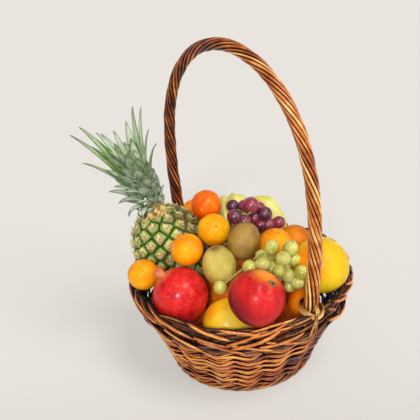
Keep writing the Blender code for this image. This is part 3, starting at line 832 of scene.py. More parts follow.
crown = bmesh.new()
rings = []
for height, reach, lift, flare in crown_outline:
    ring = []
    for k in range(tooth_points):
        point = 1.0 - abs(math.remainder(teeth * k / tooth_points, 1.0)) * 2.0
        spot = polar(math.tau * k / tooth_points, reach + flare * point, height + lift * point)
        ring.append(crown.verts.new(pomegranate_middle + pomegranate_turn @ (spot * pomegranate_size)))
    rings.append(ring)
skin(crown, rings)
bmesh.ops.recalc_face_normals(crown, faces=crown.faces)
piece = piece_from("pomegranate_crown", crown, bloom=lambda vert: 0.9)
settle(piece, pomegranate_skin)

# ---------------------------------------------------------------- Mangoes
# Two ripe mangoes of a round kind: one yellow with an orange cheek, one crimson that stays yellow round
# its stem. The skin is smooth and waxy with tiny pale dots, and the stem leaves a dark corky scar.

scar_radius = 0.0046
scar_depth = 0.0024


def mango_shape(seed, squash):
    def shape(p):
        r = 1.0 + 0.022 * noise.noise(p * 1.1 + Vector((seed, 2.0, 0.0)))
        if p.z > 0:
            r -= 0.055 * pit(math.hypot(p.x, p.y), 0.17)
        return Vector((p.x * r, p.y * r, p.z * r * squash))
    return shape


def mango_skin(name, base, blush_and_shade, blush_and_shade_span, warm, warm_span, dot):
    """Two tones of a base colour, with a side colour where one side is painted (a blush on the yellow mango,
    painted shade on the red one) and a warm zone where that is painted.
    """
    made = Finish(name, Coat_Weight=0.15, Coat_Roughness=0.22, Specular_IOR_Level=0.15)
    cloud = made.grain(34.0, 4.0, 0.6)
    speck = made.cells(330.0).between(0.10, 0.22)
    streak = made.grain(90.0, 4.0, 0.6, made.place((1, 1, 0.35)))
    first = made.painted("blush_and_shade") + cloud * 0.5 - 0.25
    second = made.painted("warm") + cloud * 0.5 + streak * 0.5 - 0.5
    colour = made.mix(cloud.between(0.35, 0.7), *base)
    colour = made.mix(first.between(*blush_and_shade_span), colour, blush_and_shade)
    colour = made.mix(second.between(*warm_span), colour, warm)
    colour = made.mix((1 - speck) * 0.20, colour, dot)
    return made.dress(colour, 0.34 + 0.16 * cloud, cloud * 0.7 + speck * 0.12, 0.0006, 0.35)


def paint_side(piece, name, middle, side, power):
    """How much each point of a piece faces one way from its middle."""
    side = Vector(side).normalized()
    paint(piece, name, lambda vert: max(0.0, (vert.co - middle).normalized().dot(side)) ** power)


# The red mango's side colour, dark maroon, is painted shade.
red_skin = mango_skin("red_mango_skin", ("b00e18", "d22422"), "780a18", (0.24, 0.90), "f2962a", (0.35, 1.05),
                      "f4988a")
piece, red_middle, turn, red_size = grow("mango_red_fruit", "mango_red", (-0.16, -0.70, 0.70), 6,
                                         mango_shape(3.0, 1.0), red_skin)
paint_side(piece, "warm", red_middle, (0.30, -0.16, 0.94), 4)
# Painted shade: the red mango is painted dark maroon on its left and lower side, as the camera sees it.
paint_side(piece, "blush_and_shade", red_middle, (-0.82, 0.16, -0.34), 1.5)

yellow_skin = mango_skin("yellow_mango_skin", ("f6b410", "fbc824"), "f27e0c", (0.80, 1.20), "fdd040",
                         (0.35, 0.9), "e09a10")
piece, middle, turn, size = grow("mango_yellow_fruit", "mango_yellow", (0.1, 0.9, -0.2), 6,
                                 mango_shape(8.0, 0.99), yellow_skin)
paint_side(piece, "blush_and_shade", middle, (-0.62, 0.30, 0.72), 2)
paint_side(piece, "warm", middle, (-0.30, -0.75, 0.60), 2)


def pick_faces(piece, wanted):
    """Selects faces by a rule, and leaves the piece in edit mode."""
    bpy.ops.object.mode_set(mode="EDIT")
    bpy.ops.mesh.select_mode(type="FACE")
    bpy.ops.mesh.select_all(action="DESELECT")
    bpy.ops.object.mode_set(mode="OBJECT")
    for face in piece.data.polygons:
        face.select = wanted(face)
    bpy.ops.object.mode_set(mode="EDIT")


piece = begin("mango_stem_scar", bpy.ops.mesh.primitive_cylinder_add, vertices=24, radius=scar_radius,
              depth=scar_depth)
pick_faces(piece, lambda face: face.normal.z > 0.5)
bpy.ops.mesh.inset(thickness=0.0010, depth=0.0005)
bpy.ops.mesh.inset(thickness=0.0012, depth=-0.0007)
bpy.ops.object.mode_set(mode="OBJECT")
stretch = Matrix.Diagonal((0.8, 1.35, 1.0, 1.0))
scar_side = Vector((0.19, -0.60, 0.78)).normalized()
scar_middle = red_middle + scar_side * (red_size * 0.998)
piece.data.transform(Matrix.Translation(scar_middle) @ turned_to(scar_side).to_4x4() @ stretch)
bpy.ops.object.shade_smooth_by_angle(angle=math.radians(40))
paint(piece, "away", lambda vert: (vert.co - red_middle).cross(scar_side).length / 0.0060)
made = Finish("corky_scar", Roughness=0.85)
cork = made.grain(700.0, 3.0)
colour = made.ramp(made.painted("away") + cork * 0.5 - 0.25,
                   (0.20, "140e08"), (0.42, "3c3018"), (0.70, "8a8054"), (0.98, "6a3a1c"))
settle(piece, made.dress(colour, None, cork))

# ---------------------------------------------------------------- Grapefruit
# A large smooth ball with a thick yellow peel, pitted like the oranges but finer, and painted warm orange on
# one side: painted reflection of the orange fruit beside it, and painted shade.

made = Finish("grapefruit_peel", Coat_Weight=0.10, Coat_Roughness=0.22, Specular_IOR_Level=0.20)
broad = made.grain(20.0)
gland = made.cells(560.0).between(0.05, 0.6)
colour = made.mix(broad.between(0.35, 0.7), "e6b808", "efcb1c")
# Painted reflection and shade: orange on the side towards the fruit beside it.
colour = made.mix((made.painted("blush_and_shade") + broad * 0.5 - 0.25).between(0.30, 0.95), colour, "f39206")
colour = made.mix((1 - gland) * 0.2, colour, "d99a10", "MULTIPLY")
peel = made.dress(colour, 0.40 + 0.12 * broad, gland * 0.9 + broad * 0.5, 0.0005, 0.7)
piece, middle, turn, size = grow("grapefruit_fruit", "grapefruit", (0.5, -0.3, 0.8), 6,
                                 citrus_shape(5, 0.97, 0.01), peel)
# Painted reflection and shade on the side towards the oranges.
paint_side(piece, "blush_and_shade", middle, (-0.85, -0.15, 0.50), 2)

# ---------------------------------------------------------------- Kiwifruit
# Egg-shaped, with a thin brown-green skin under short fuzz, a dry dimple where the stem was and a small
# hard point at the other end.


def kiwi_skin(name, pale, deep, brown):
    made = Finish(name, Sheen_Weight=0.05, Sheen_Roughness=0.4, Sheen_Tint=(0.9, 0.8, 0.4, 1.0),
                  Specular_IOR_Level=0.5)
    fuzz = made.grain(460.0, 4.0, 0.75)
    colour = made.mix(made.grain(38.0, 3.0).between(0.35, 0.68), deep, pale)
    colour = made.mix(made.painted("ends"), colour, brown)
    colour = made.mix(fuzz.between(0.46, 0.68) * 0.36, colour, brown)
    return made.dress(colour, 0.36 + 0.25 * fuzz, fuzz, 0.0009, 0.9)


def kiwi_shape(radius, half):
    def shape(p):
        flat = math.hypot(p.x, p.y)
        girth = radius * (1.0 - 0.05 * p.z) * (1.0 + 0.02 * noise.noise(p * 1.5))
        along = p.z * half
        if p.z > 0:
            along -= 0.0016 * pit(flat, 0.20) - 0.0013 * pit(flat - 0.11, 0.04)
        else:
            along -= 0.0010 * pit(flat, 0.06)
        return Vector((p.x * girth, p.y * girth, along))
    return shape


def kiwi_ends(vert):
    flat = math.hypot(vert.co.x, vert.co.y)
    return min(1.0, pit(flat, 0.32 if vert.co.z > 0 else 0.10) + 0.30 * pit(flat, 0.40))


for name, node, middle, radius, half, axis, finish in (
        ("kiwi_front", "kiwifruit_front", (-0.0680, -0.0300, 0.2025), 0.0258, 0.0315, (-0.14, 0.06, 0.92),
         kiwi_skin("green_kiwi_skin", "dccb66", "c0ac46", "84602a")),
        ("kiwi_back", "kiwifruit_back", (-0.0170, -0.0290, 0.2238), 0.0248, 0.0305, (0.59, 0.13, 0.70),
         kiwi_skin("brown_kiwi_skin", "b08a3a", "8c6626", "603a14"))):
    piece = unit_ball(name, 6)
    paint(piece, "ends", kiwi_ends)
    shape_ball(piece, Vector(middle), turned_to(axis), kiwi_shape(radius, half))
    settle(piece, finish, node)

# ---------------------------------------------------------------- Pineapple body
# One fruit grown from many flowers: a barrel covered in raised eyes that follow crossing spirals. Each eye
# is dark green at its rim, yellow-green on its shoulders and cream in its middle, where a dry bract stands
# up in a few sharp points.

pine_lean = math.radians(16)
pine_girth = 0.0575
pine_up = 0.0680
pine_down = 0.0880
neck_low = 0.0560
neck_top = 0.0770
golden_angle = math.radians(137.508)
eye_area = 0.000400
eye_width = 0.0105
eye_depth = 0.0060
bract_points = ((0.0, 0.0105, 0.0018), (-0.75, 0.0066, 0.0010), (0.8, 0.0064, 0.0010),
                (-1.7, 0.0050, 0.0009), (1.6, 0.0050, 0.0009), (3.1, 0.0042, 0.0009))
bract_outline = ((0.0, 0.9, 0.0006), (0.35, 1.0, 0.0012), (0.7, 0.45, 0.0020), (1.0, 0.05, 0.0036))
rind_columns = 280
rind_rows = 230
pine_turn = Matrix.Rotation(math.radians(142.5), 4, "Z") @ Matrix.Rotation(pine_lean, 4, "Y")
pine_frame = Matrix.Translation((-0.0760, 0.0875, 0.1890)) @ pine_turn
ripe_side = pine_turn.to_3x3().inverted() @ Vector((0.64, -0.34, 0.69))


def pine_radius(height):
    """The barrel's radius, fuller at its shoulders than at its foot."""
    share = height / (pine_up if height > 0 else pine_down)
    power = 2.4 if height > 0 else 2.0
    return pine_girth * max(1.0 - abs(share) ** power, 0.0) ** (1.0 / power)


eyes = []
height = -pine_down * 0.97
turned = 0.0
while height < pine_up * 0.975:
    radius = max(pine_radius(height), 0.012)
    slope = (pine_radius(height + 0.001) - pine_radius(height - 0.001)) / 0.002
    eyes.append((polar(turned, radius, height + 0.0007 * wobble(turned, 1.0, 4.0)), turned, slope))
    height += eye_area / (math.tau * radius * math.sqrt(1.0 + slope * slope))
    turned += golden_angle
finder = finder_of([spot for spot, _, _ in eyes])

rind = bmesh.new()
rings = []
painted = {"rim": [], "lift": [], "away": [], "ripe": []}
for row in range(rind_rows + 1):
    share = -math.cos(math.pi * row / rind_rows)
    height = share * (pine_up if share > 0 else pine_down)
    radius = pine_radius(height) if 0 < row < rind_rows else 0.0
    ring = []
    for column in range(rind_columns):
        angle = math.tau * column / rind_columns
        spot = polar(angle, radius, height)
        (near, index, first), (_, _, second) = finder.find_n(spot, 2)
        edge = unit((second - first) / eye_width)
        above = spot.z - eyes[index][0].z
        raised = -0.0042 + eye_depth * edge ** 0.55 - 0.0016 * pit(first, 0.0042)
        raised += noise.noise(spot * 240.0) * 0.0005 + 0.10 * above * edge
        outward = polar(angle, 1.0, -0.8 * eyes[index][2]).normalized()
        if row in (0, rind_rows):
            outward = Vector((0.0, 0.0, share))
        raised *= 1.0 if radius > 0.008 else 0.2
        ring.append(rind.verts.new(pine_frame @ (spot + outward * raised)))
        painted["rim"].append(edge)
        painted["lift"].append(unit(0.5 + above / 0.018))
        painted["away"].append(first / 0.010)
        painted["ripe"].append(max(0.0, outward.dot(ripe_side)) ** 2)
    rings.append(ring)
skin(rind, rings)
piece = piece_from("pineapple_rind", rind, **painted)
bpy.ops.object.mode_set(mode="EDIT")
bpy.ops.mesh.select_all(action="SELECT")
bpy.ops.mesh.remove_doubles(threshold=0.00002)
bpy.ops.mesh.normals_make_consistent(inside=False)
bpy.ops.object.mode_set(mode="OBJECT")

made = Finish("pineapple_rind", Coat_Weight=0.15, Coat_Roughness=0.3, Specular_IOR_Level=0.4)
blotch = made.grain(26.0, 3.0)
fibre = made.grain(300.0, 4.0, 0.65)
edge = made.painted("rim") + fibre * 0.30 + made.grain(130.0, 3.0) * 0.50 - 0.40
away = made.painted("away") + fibre * 0.6 - 0.30
green = made.mix(blotch.between(0.38, 0.62), "8aa820", "cfd44c")
pale = made.mix(blotch.between(0.38, 0.62), "80843a", "bcb478")
green = made.mix(made.painted("lift").between(0.25, 0.80), pale, green)
colour = made.ramp(edge, (0.02, "0a1204"), (0.10, "1b320a"), (0.24, "3c6412"), (0.46, "6a8c20"))
colour = made.mix(edge.between(0.30, 0.66), colour, green)
cream = made.mix(fibre.between(0.42, 0.62), "86683a", "e6d69c")
colour = made.mix(1 - away.between(0.26, 0.90), colour, cream)
colour = made.mix(made.grain(60.0, 4.0, 0.65).between(0.50, 0.66) * 0.55, colour, "5a4420")
ripe = made.painted("ripe") + blotch * 0.5 - 0.25
colour = made.mix(ripe.between(0.20, 0.85) * 0.72, colour, "5a4418")
rind_finish = made.dress(colour, 0.40 + 0.30 * fibre, fibre, 0.0015, 0.8)
settle(piece, rind_finish, "pineapple_body")


def thicken(piece, thickness, offset):
    """Makes a thin sheet solid."""
    sheet = piece.modifiers.new("thickness", "SOLIDIFY")
    sheet.thickness = thickness
    sheet.offset = offset
    bpy.ops.object.modifier_apply(modifier="thickness")


# In each bract the longest point stands up over the eye, and the others are spread at either side.
bracts = bmesh.new()
heights = []
for spot, turned, slope in eyes:
    outward = polar(turned, 1.0, -slope).normalized()
    across = polar(turned + math.pi / 2, 1.0)
    upward = outward.cross(across)
    size = chance.uniform(0.95, 1.30)
    for spread, length, wide in bract_points:
        spread += chance.uniform(-0.22, 0.22)
        length *= size * chance.uniform(0.8, 1.15)
        aim = upward * math.cos(spread) + across * math.sin(spread)
        side = across * math.cos(spread) - upward * math.sin(spread)
        lines = []
        for part, half, high in bract_outline:
            line = []
            for k in (-1.0, 0.0, 1.0):
                crease = 0.0 if k else 0.0006
                at = spot - upward * 0.0012 + aim * (part * length) + side * (k * half * wide)
                line.append(bracts.verts.new(pine_frame @ (at + outward * (high + crease))))
                heights.append(part * (1.0 if spread * spread < 0.3 else 0.6))
            lines.append(line)
        skin(bracts, lines, closed=False)
piece = piece_from("pineapple_bracts", bracts, height=heights)
thicken(piece, 0.0005, -1.0)
made = Finish("dry_bract", Roughness=0.6)
fibre = made.grain(600.0, 3.0)
colour = made.ramp(made.painted("height") + fibre * 0.5 - 0.25,
                   (0.02, "9c8048"), (0.25, "d8c88c"), (0.60, "f4eac4"), (0.95, "cdb080"))
settle(piece, made.dress(colour, None, fibre, 0.0005))

# The stump between the fruit and its crown is plated with the scars of leaves that have been pulled off.
piece = begin("pineapple_neck", bpy.ops.mesh.primitive_cylinder_add, vertices=72, radius=1.0, depth=1.0)
bpy.ops.object.mode_set(mode="EDIT")
bpy.ops.mesh.select_all(action="SELECT")
bpy.ops.mesh.subdivide(number_cuts=7)
bpy.ops.object.mode_set(mode="OBJECT")
for vert in piece.data.vertices:
    share = vert.co.z + 0.5
    around = math.atan2(vert.co.y, vert.co.x)
    plate = abs(math.sin(around * 6.5 + 4.0 * math.floor(share * 3.0))) ** 0.4
    girth = 0.0205 - 0.0035 * share + 0.0012 * plate + 0.0012 * wobble(around * 4.0, share * 6.0, 2.0)
    height = neck_low + (neck_top + 0.0020 - neck_low) * share
    vert.co = pine_frame @ Vector((vert.co.x * girth, vert.co.y * girth, height))
bpy.ops.object.shade_smooth_by_angle(angle=math.radians(60))
made = Finish("dry_stump", Roughness=0.7)
husk = made.grain(230.0, 4.0, 0.7, made.place((1, 1, 0.5)))
colour = made.ramp(husk, (0.34, "5a2c0c"), (0.45, "a8742c"), (0.55, "e0c874"), (0.66, "f2e4a8"),
                   (0.80, "b8742a"))
settle(piece, made.dress(colour, None, husk, 0.003))

# ---------------------------------------------------------------- Pineapple crown
# A rosette of stiff, channelled leaves on a short stem, grey-green with a waxy bloom. The lowest are short
# and curl down on the side it leans to, those in the middle lie over each other like broad scales, and a
# dozen long ones stand out at the top.

crown_lean = math.radians(18)
crown_stem = 0.066
crown_girth = 0.0150
leaf_count = 68
leaf_steps = 10
long_steps = 14
crown_base = pine_frame @ Matrix.Translation((0.0, 0.0, neck_top))
crown_frame = crown_base @ Matrix.Rotation(crown_lean - pine_lean, 4, "Y")
leaves = bmesh.new()
painted = {"edge": [], "tip": [], "fresh": []}


def read_off(share, stops):
    """A value read off a list of (share, value)."""
    for (x0, y0), (x1, y1) in zip(stops, stops[1:]):
        if share <= x1:
            return y0 + (y1 - y0) * (share - x0) / (x1 - x0)
    return stops[-1][1]


def upright(height):
    """A step straight up the crown's stem."""
    return Vector((0.0, 0.0, height))


def leaf(path, side, wide, taper, fresh, dry=0.0):
    """A channelled blade along a path in the crown's own frame, hollow on the side towards the stem."""
    steps = len(path) - 1
    lines = []
    for step, middle in enumerate(path):
        part = step / steps
        ahead = (path[min(step + 1, steps)] - path[max(step - 1, 0)]).normalized()
        inward = side.cross(ahead).normalized()
        swell = 0.80 + 0.20 * math.sin(math.pi * min(1.0, part * 1.7 + 0.1))
        half = max(wide * swell * (1.0 - part ** taper) ** 0.85, 0.0003)
        line = []
        for k in range(7):
            across = k / 3.0 - 1.0
            saw = 0.0004 * (step % 2) if abs(across) > 0.99 and 0 < step < steps else 0.0
            spot = middle + side * (across * (half + saw)) + inward * (half * 0.42 * across * across)
            line.append(leaves.verts.new(crown_frame @ spot))
            painted["edge"].append(abs(across))
            painted["tip"].append(part + dry * part)
            painted["fresh"].append(fresh)
        lines.append(line)
    skin(leaves, lines, closed=False)


lengths = ((0.0, 0.020), (0.10, 0.026), (0.25, 0.034), (0.45, 0.040), (0.65, 0.044), (0.85, 0.050),
           (1.0, 0.046))
opens = ((0.0, 50), (0.15, 44), (0.35, 34), (0.60, 26), (0.80, 18), (1.0, 6))
bends = ((0.0, 40), (0.20, 38), (0.60, 34), (1.0, 20))
widths = ((0.0, 0.0070), (0.10, 0.0094), (0.25, 0.0126), (0.50, 0.0146), (0.80, 0.0132), (1.0, 0.0090))
for index in range(leaf_count):
    share = index / (leaf_count - 1)
    azimuth = math.radians(137.5) * index + 0.6
    outward = polar(azimuth, 1.0)
    side = polar(azimuth + math.pi / 2, 1.0)
    lee = outward.x
    hang = unit((0.30 - share) / 0.22) * unit((lee + 0.15) / 0.55)
    opening = read_off(share, opens) * (1.0 + 0.42 * lee) * chance.uniform(0.86, 1.14) + 46.0 * hang
    bend = read_off(share, bends) * chance.uniform(0.4, 1.7) + 130.0 * hang
    length = read_off(share, lengths) * (1.0 + 0.22 * lee) * chance.uniform(0.9, 1.08) * (1.0 - 0.18 * hang)
    wide = read_off(share, widths) * chance.uniform(0.88, 1.12) * (1.0 - 0.55 * hang)
    middle = outward * (crown_girth * (1.0 - 0.75 * share)) + upright(0.001 + crown_stem * share)
    path = [middle]
    for step in range(leaf_steps):
        angle = math.radians(opening + bend * ((step + 0.5) / leaf_steps) ** 2.2)
        middle = middle + (outward * math.sin(angle) + upright(math.cos(angle))) * (length / leaf_steps)
        path.append(middle)
    leaf(path, side, wide, 2.9, 0.15 * share, 0.6 * hang)
for tip, start, wide, fresh in (
        ((0.071, -0.010, 0.158), 0.030, 0.0086, 0.9), ((0.053, -0.012, 0.164), 0.040, 0.0108, 1.0),
        ((0.064, 0.016, 0.118), 0.024, 0.0092, 0.7), ((0.032, -0.008, 0.148), 0.046, 0.0078, 0.6),
        ((0.006, -0.004, 0.142), 0.050, 0.0078, 0.5), ((-0.028, -0.020, 0.163), 0.046, 0.0100, 0.35),
        ((-0.040, -0.018, 0.158), 0.044, 0.0090, 0.35), ((-0.040, -0.004, 0.126), 0.036, 0.0080, 0.3),
        ((-0.014, 0.012, 0.128), 0.044, 0.0104, 0.25), ((-0.044, 0.006, 0.104), 0.030, 0.0082, 0.2),
        ((0.034, -0.034, 0.136), 0.040, 0.0086, 0.6), ((-0.006, -0.044, 0.138), 0.042, 0.0086, 0.5),
        ((0.058, -0.026, 0.128), 0.032, 0.0080, 0.6), ((0.020, 0.020, 0.122), 0.038, 0.0100, 0.4)):
    tip = Vector(tip)
    base = upright(start)
    outward = Vector((tip.x, tip.y, 0.0)).normalized()
    side = Vector((-outward.y, outward.x, 0.0))
    pull = base.lerp(tip, 0.48) + outward * 0.003 + upright(0.012)
    path = []
    for step in range(long_steps + 1):
        part = step / long_steps
        path.append(base * (1 - part) ** 2 + pull * (2 * part * (1 - part)) + tip * part ** 2
                    + outward * (0.003 * part ** 5) - upright(0.006 * part ** 5))
    leaf(path, side, wide * 1.35, 1.9, fresh)
piece = piece_from("crown_leaves", leaves, **painted)
thicken(piece, 0.0010, 0.0)

made = Finish("crown_leaf", Coat_Weight=0.06, Coat_Roughness=0.35, Specular_IOR_Level=0.35)
cloud = made.grain(55.0, 3.0)
fine = made.grain(420.0, 3.0, 0.6)
edge = made.painted("edge") + fine * 0.30 - 0.15
tip = made.painted("tip") + cloud * 0.30 - 0.15
fresh = made.painted("fresh")
bloom = made.mix((cloud * 0.6 + made.each() * 0.4).between(0.34, 0.68), "92a882", "c8d3b9")
green = made.mix(cloud.between(0.36, 0.66), "6f9a3a", "9cb866")
colour = made.mix(fresh * (1 - tip.between(0.35, 0.95)), bloom, green)
# Paler on the lowest leaves: waxy bloom, and painted light where the leaves above shade them.
colour = made.mix((1 - fresh.between(0.02, 0.14)) * 0.60, colour, "dde5d6")
colour = made.mix(edge.between(0.66, 1.0) * 0.80, colour, "405a34")
colour = made.mix(tip.between(0.70, 1.05) * 0.80, colour, "4a5432")
# Painted shade: darker at the base of each leaf, where the leaves overlap.
colour = made.mix((1 - tip.between(0.06, 0.36)) * 0.40, colour, "56743e")
leaf_finish = made.dress(colour, 0.42 + 0.3 * cloud, fine * 0.5 + cloud * 0.5, 0.0005, 0.6)
settle(piece, leaf_finish, "pineapple_crown")

# ---------------------------------------------------------------- Bananas
# One hand of four pale, slightly unripe fingers. Each has five soft ridges, narrows to a neck where it
# joins the others, and ends in a short dark tip.

fingers = (
    ((0.0640, 0.1120, 0.2075), (0.0330, 0.0710, 0.1930), 1.2),
    ((0.0630, 0.0805, 0.2225), (0.0450, 0.0470, 0.1900), 1.6),
    ((0.0925, 0.0760, 0.2060), (0.0720, 0.0350, 0.1800), 1.4),
    ((0.0965, 0.0435, 0.2200), (0.1150, 0.0110, 0.1650), 3.4),
)
banana_stem = Vector((0.0880, 0.1200, 0.1820))
banana_girth = 0.0175
banana_steps = 44
banana_sides = 40
curve_steps = 200
stump_sides = 24
stump_outline = ((-0.010, 0.0090), (-0.002, 0.0125), (0.006, 0.0120), (0.012, 0.0098), (0.0155, 0.0094),
                 (0.0152, 0.0070))
stump_way = Vector((0.5, 0.8, -0.2)).normalized()
stump_turn = turned_to(stump_way)
thickness = ((0.0, 0.38), (0.12, 0.48), (0.26, 0.84), (0.40, 1.0), (0.62, 1.0), (0.80, 0.88), (0.92, 0.58),
             (0.965, 0.34), (1.0, 0.30))
hand = bmesh.new()
painted = {"along": [], "ridge": []}
for top, tip, sharp in fingers:
    tip = Vector(tip)
    pull = (Vector(top) * (2.0 + 2.0 * sharp) - banana_stem - tip) / (2.0 * sharp)
    curve = []
    for step in range(curve_steps + 1):
        t = step / curve_steps
        shares = ((1 - t) ** 2, 2 * sharp * t * (1 - t), t ** 2)
        curve.append((banana_stem * shares[0] + pull * shares[1] + tip * shares[2]) / sum(shares))
    runs = running_lengths(curve)
    rings = []
    for step in range(banana_steps + 1):
        t = step / banana_steps
        near = min(range(len(runs)), key=lambda k: abs(runs[k] - t * runs[-1]))
        ahead = (curve[min(near + 3, curve_steps)] - curve[max(near - 3, 0)]).normalized()
        side = ahead.cross(Vector((0, 0, 1))).normalized()
        over = side.cross(ahead)
        half = banana_girth * read_off(t, thickness)
        ring = []
        for k in range(banana_sides):
            around = math.tau * k / banana_sides
            corner = abs(math.remainder(5 * around / math.tau, 1.0)) * 2.0
            out = half * (1.06 - 0.21 * corner ** 0.85)
            spot = side * (out * math.cos(around)) + over * (out * math.sin(around))
            ring.append(hand.verts.new(curve[near] + spot))
            painted["along"].append(t)
            painted["ridge"].append(1.0 - corner)
        rings.append(ring)
    skin(hand, rings)
rings = []
for reach, half in stump_outline:
    ring = []
    for k in range(stump_sides):
        around = math.tau * k / stump_sides
        out = half * (1.0 + 0.10 * math.cos(4 * around) + 0.05 * math.cos(7 * around))
        ring.append(hand.verts.new(banana_stem + stump_way * reach + stump_turn @ polar(around, out)))
        painted["along"].append(0.20 - 0.10 * (reach + 0.010) / 0.0255 if reach < 0.015 else 1.0)
        painted["ridge"].append(0.0)
    rings.append(ring)
skin(hand, rings)
bmesh.ops.recalc_face_normals(hand, faces=hand.faces)
piece = piece_from("banana_hand", hand, **painted)

made = Finish("banana_skin", Coat_Weight=0.12, Coat_Roughness=0.35, Subsurface_Weight=0.1,
              Subsurface_Radius=(0.8, 0.6, 0.2), Subsurface_Scale=0.003)
cloud = made.grain(30.0, 3.0)
fleck = made.grain(240.0, 3.0, 0.6)
along = made.painted("along")
colour = made.mix(cloud.between(0.35, 0.68), "d8d05c", "e8e08c")
colour = made.mix(made.painted("ridge").between(0.72, 1.0) * 0.45, colour, "b4b850")
colour = made.mix(1 - (along + fleck * 0.1).between(0.12, 0.36), colour, "b3c060")
colour = made.mix((along + fleck * 0.06).between(0.965, 1.01), colour, "33240f")
colour = made.mix(fleck.between(0.68, 0.78) * 0.5, colour, "9a7a3a")
banana_finish = made.dress(colour, 0.44 + 0.15 * cloud, cloud * 0.5 + fleck * 0.3, 0.0006, 0.4)
settle(piece, banana_finish, "bananas")

# ---------------------------------------------------------------- Grapes
# Two bunches laid over the heap, each grape on its own thin stalk from a woody stem. The green ones are
# clear enough to glow, and the dark ones carry a dull bloom.

bunch_across = Vector((0.78, -0.62, -0.04)).normalized()
bunch_out = Vector((-0.545, -0.71, 0.446)).normalized()
bunch_up = bunch_out.cross(bunch_across).normalized()
bunch_turn = Matrix((bunch_up.cross(bunch_out), bunch_up, bunch_out)).transposed()
millimetre = 0.001


def hang_grapes(name, node, middle, grapes, stems, finish):
    """Grapes at true size: across, up and out from the bunch's middle, and radius, in millimetres."""
    def spot(*parts):
        return Vector(middle) + bunch_turn @ (Vector(parts) * millimetre)

    bunch = bmesh.new()
    painted = {"end": [], "own": []}
    rods = [even([spot(*p) for p in stem], 0.0013) for stem in stems]
    for number, (aside, above, out, radius) in enumerate(grapes):
        place = spot(aside, above, out)
        nearest = min((spot(*p) for stem in stems for p in stem), key=lambda p: (p - place).length)
        turn = turned_to((place - nearest).normalized() + bunch_out * chance.uniform(0.2, 1.4))
        long = chance.uniform(1.0, 1.10)
        made = bmesh.ops.create_uvsphere(bunch, u_segments=24, v_segments=16, radius=1.0)
        for vert in made["verts"]:
            p = vert.co.copy()
            painted["end"].append(p.z)
            painted["own"].append(number * 0.37 % 1.0)
            r = radius * millimetre * (1.0 + 0.015 * noise.noise(p * 1.5 + Vector((number, 0, 0))))
            vert.co = place + turn @ Vector((p.x * r, p.y * r, p.z * r * long))
        line = [nearest, nearest.lerp(place, 0.5) + bunch_out * 0.001, place]
        rods.append((line, [0.0008, 0.0007, 0.0010]))
    settle(piece_from(name, bunch, **painted), finish, node)
    lay_rods(name + "_stalks", rods, stalk_finish, sides=6)


made = Finish("grape_stalk", Roughness=0.6)
bark = made.grain(300.0, 3.0)
stalk_finish = made.dress(made.ramp(bark, (0.35, "6b6a24"), (0.6, "b0a84e")), None, bark, 0.0005)

made = Finish("green_grape", Subsurface_Weight=0.8, Subsurface_Radius=(0.9, 0.85, 0.25),
              Subsurface_Scale=0.008, Coat_Weight=0.75, Coat_Roughness=0.10, IOR=1.38)
cloud = made.grain(70.0, 3.0)
fine = made.grain(420.0)
end = made.painted("end") + fine * 0.015
colour = made.mix(cloud.between(0.35, 0.68), "a8a434", "c9c85e")
colour = made.mix(made.painted("own") * 0.4, colour, "e8e09c")
colour = made.mix(end.between(0.90, 0.975) * 0.4, colour, "f0e6b0")
colour = made.mix(end.between(0.972, 0.986), colour, "3c2c10")
colour = made.mix(fine.between(0.64, 0.74) * 0.3, colour, "8a8a3a")
hang_grapes("green_grape_bunch", "green_grapes", (-0.018, -0.093, 0.211), (
    (-33, -4, 2, 11.2), (-14, 11, -10, 10.4), (-14, 2, 7, 11.7), (0, 25, -5, 10.8), (28, 23, -6, 11.7),
    (16, 8, 2, 11.8), (9, -9, 9, 9.6), (1, -6, -3, 10.3), (24, -17, -3, 10.8), (27, -33, -9, 9.7),
    (37, -27, -1, 10.8), (43, -12, 4, 11.1), (-77, -33, 7, 10.2), (8, -20, -16, 10.4), (-4, 8, -19, 10.6),
    (20, -4, -18, 11.0), (-20, -12, -14, 10.4), (34, 6, -14, 10.2),
), (
    ((-6, 3, -4), (8, 0, -8), (22, -8, -8), (34, -20, -10)),
    ((-6, 3, -4), (-30, 2, 3), (-50, -11, 4), (-64, -23, 5), (-77, -33, 5)),
    ((-4, 13, 2), (-11, 16, 7), (-19, 15, 9), (-25, 11, 9), (-29, 6, 7), (-31, 1, 4)),
), made.dress(colour, 0.26 + 0.3 * cloud, cloud, 0.0004, 0.3))

made = Finish("purple_grape", Subsurface_Weight=0.25, Subsurface_Radius=(0.8, 0.2, 0.3),
              Subsurface_Scale=0.005, Coat_Weight=0.40, Coat_Roughness=0.16)
cloud = made.grain(60.0, 3.0)
fine = made.grain(350.0, 3.0, 0.6)
end = made.painted("end") + fine * 0.015
colour = made.mix(made.painted("own").between(0.15, 0.75), "4c1a32", "8e283c")
colour = made.mix((cloud * 0.7 + fine * 0.3).between(0.42, 0.68) * 0.5, colour, "966274")
colour = made.mix(end.between(0.974, 0.988), colour, "1c0c12")
hang_grapes("purple_grape_bunch", "purple_grapes", (0.041, 0.011, 0.231), (
    (-34, 17, -6, 10.6), (-32, 0, 8, 12.2), (-5, 17, 8, 13.9), (17, 4, 8, 12.1), (1, -3, -1, 11.4),
    (-16, -8, 12, 11.2), (11, -13, -1, 10.6), (23, -13, -6, 11.4), (41, -10, -6, 10.3), (-15, 16, -13, 11.6),
    (9, 12, -14, 11.6),
), (
    ((-18, 6, 4), (-8, 4, 6), (4, 2, 4), (16, -6, 0)),
    ((-8, 4, 6), (-4, 8, 16), (-10, 4, 20)),
), made.dress(colour, 0.24 + 0.3 * cloud, cloud, 0.0004, 0.3))

# ---------------------------------------------------------------- Studio
# A round pale sweep of thin plastic that curves up at its edge and glows a little by itself, as painted
# light that softens shadows, and is painted a little darker in front of the basket as painted shade, with a
# large soft light overhead and smaller ones left and right of the camera.

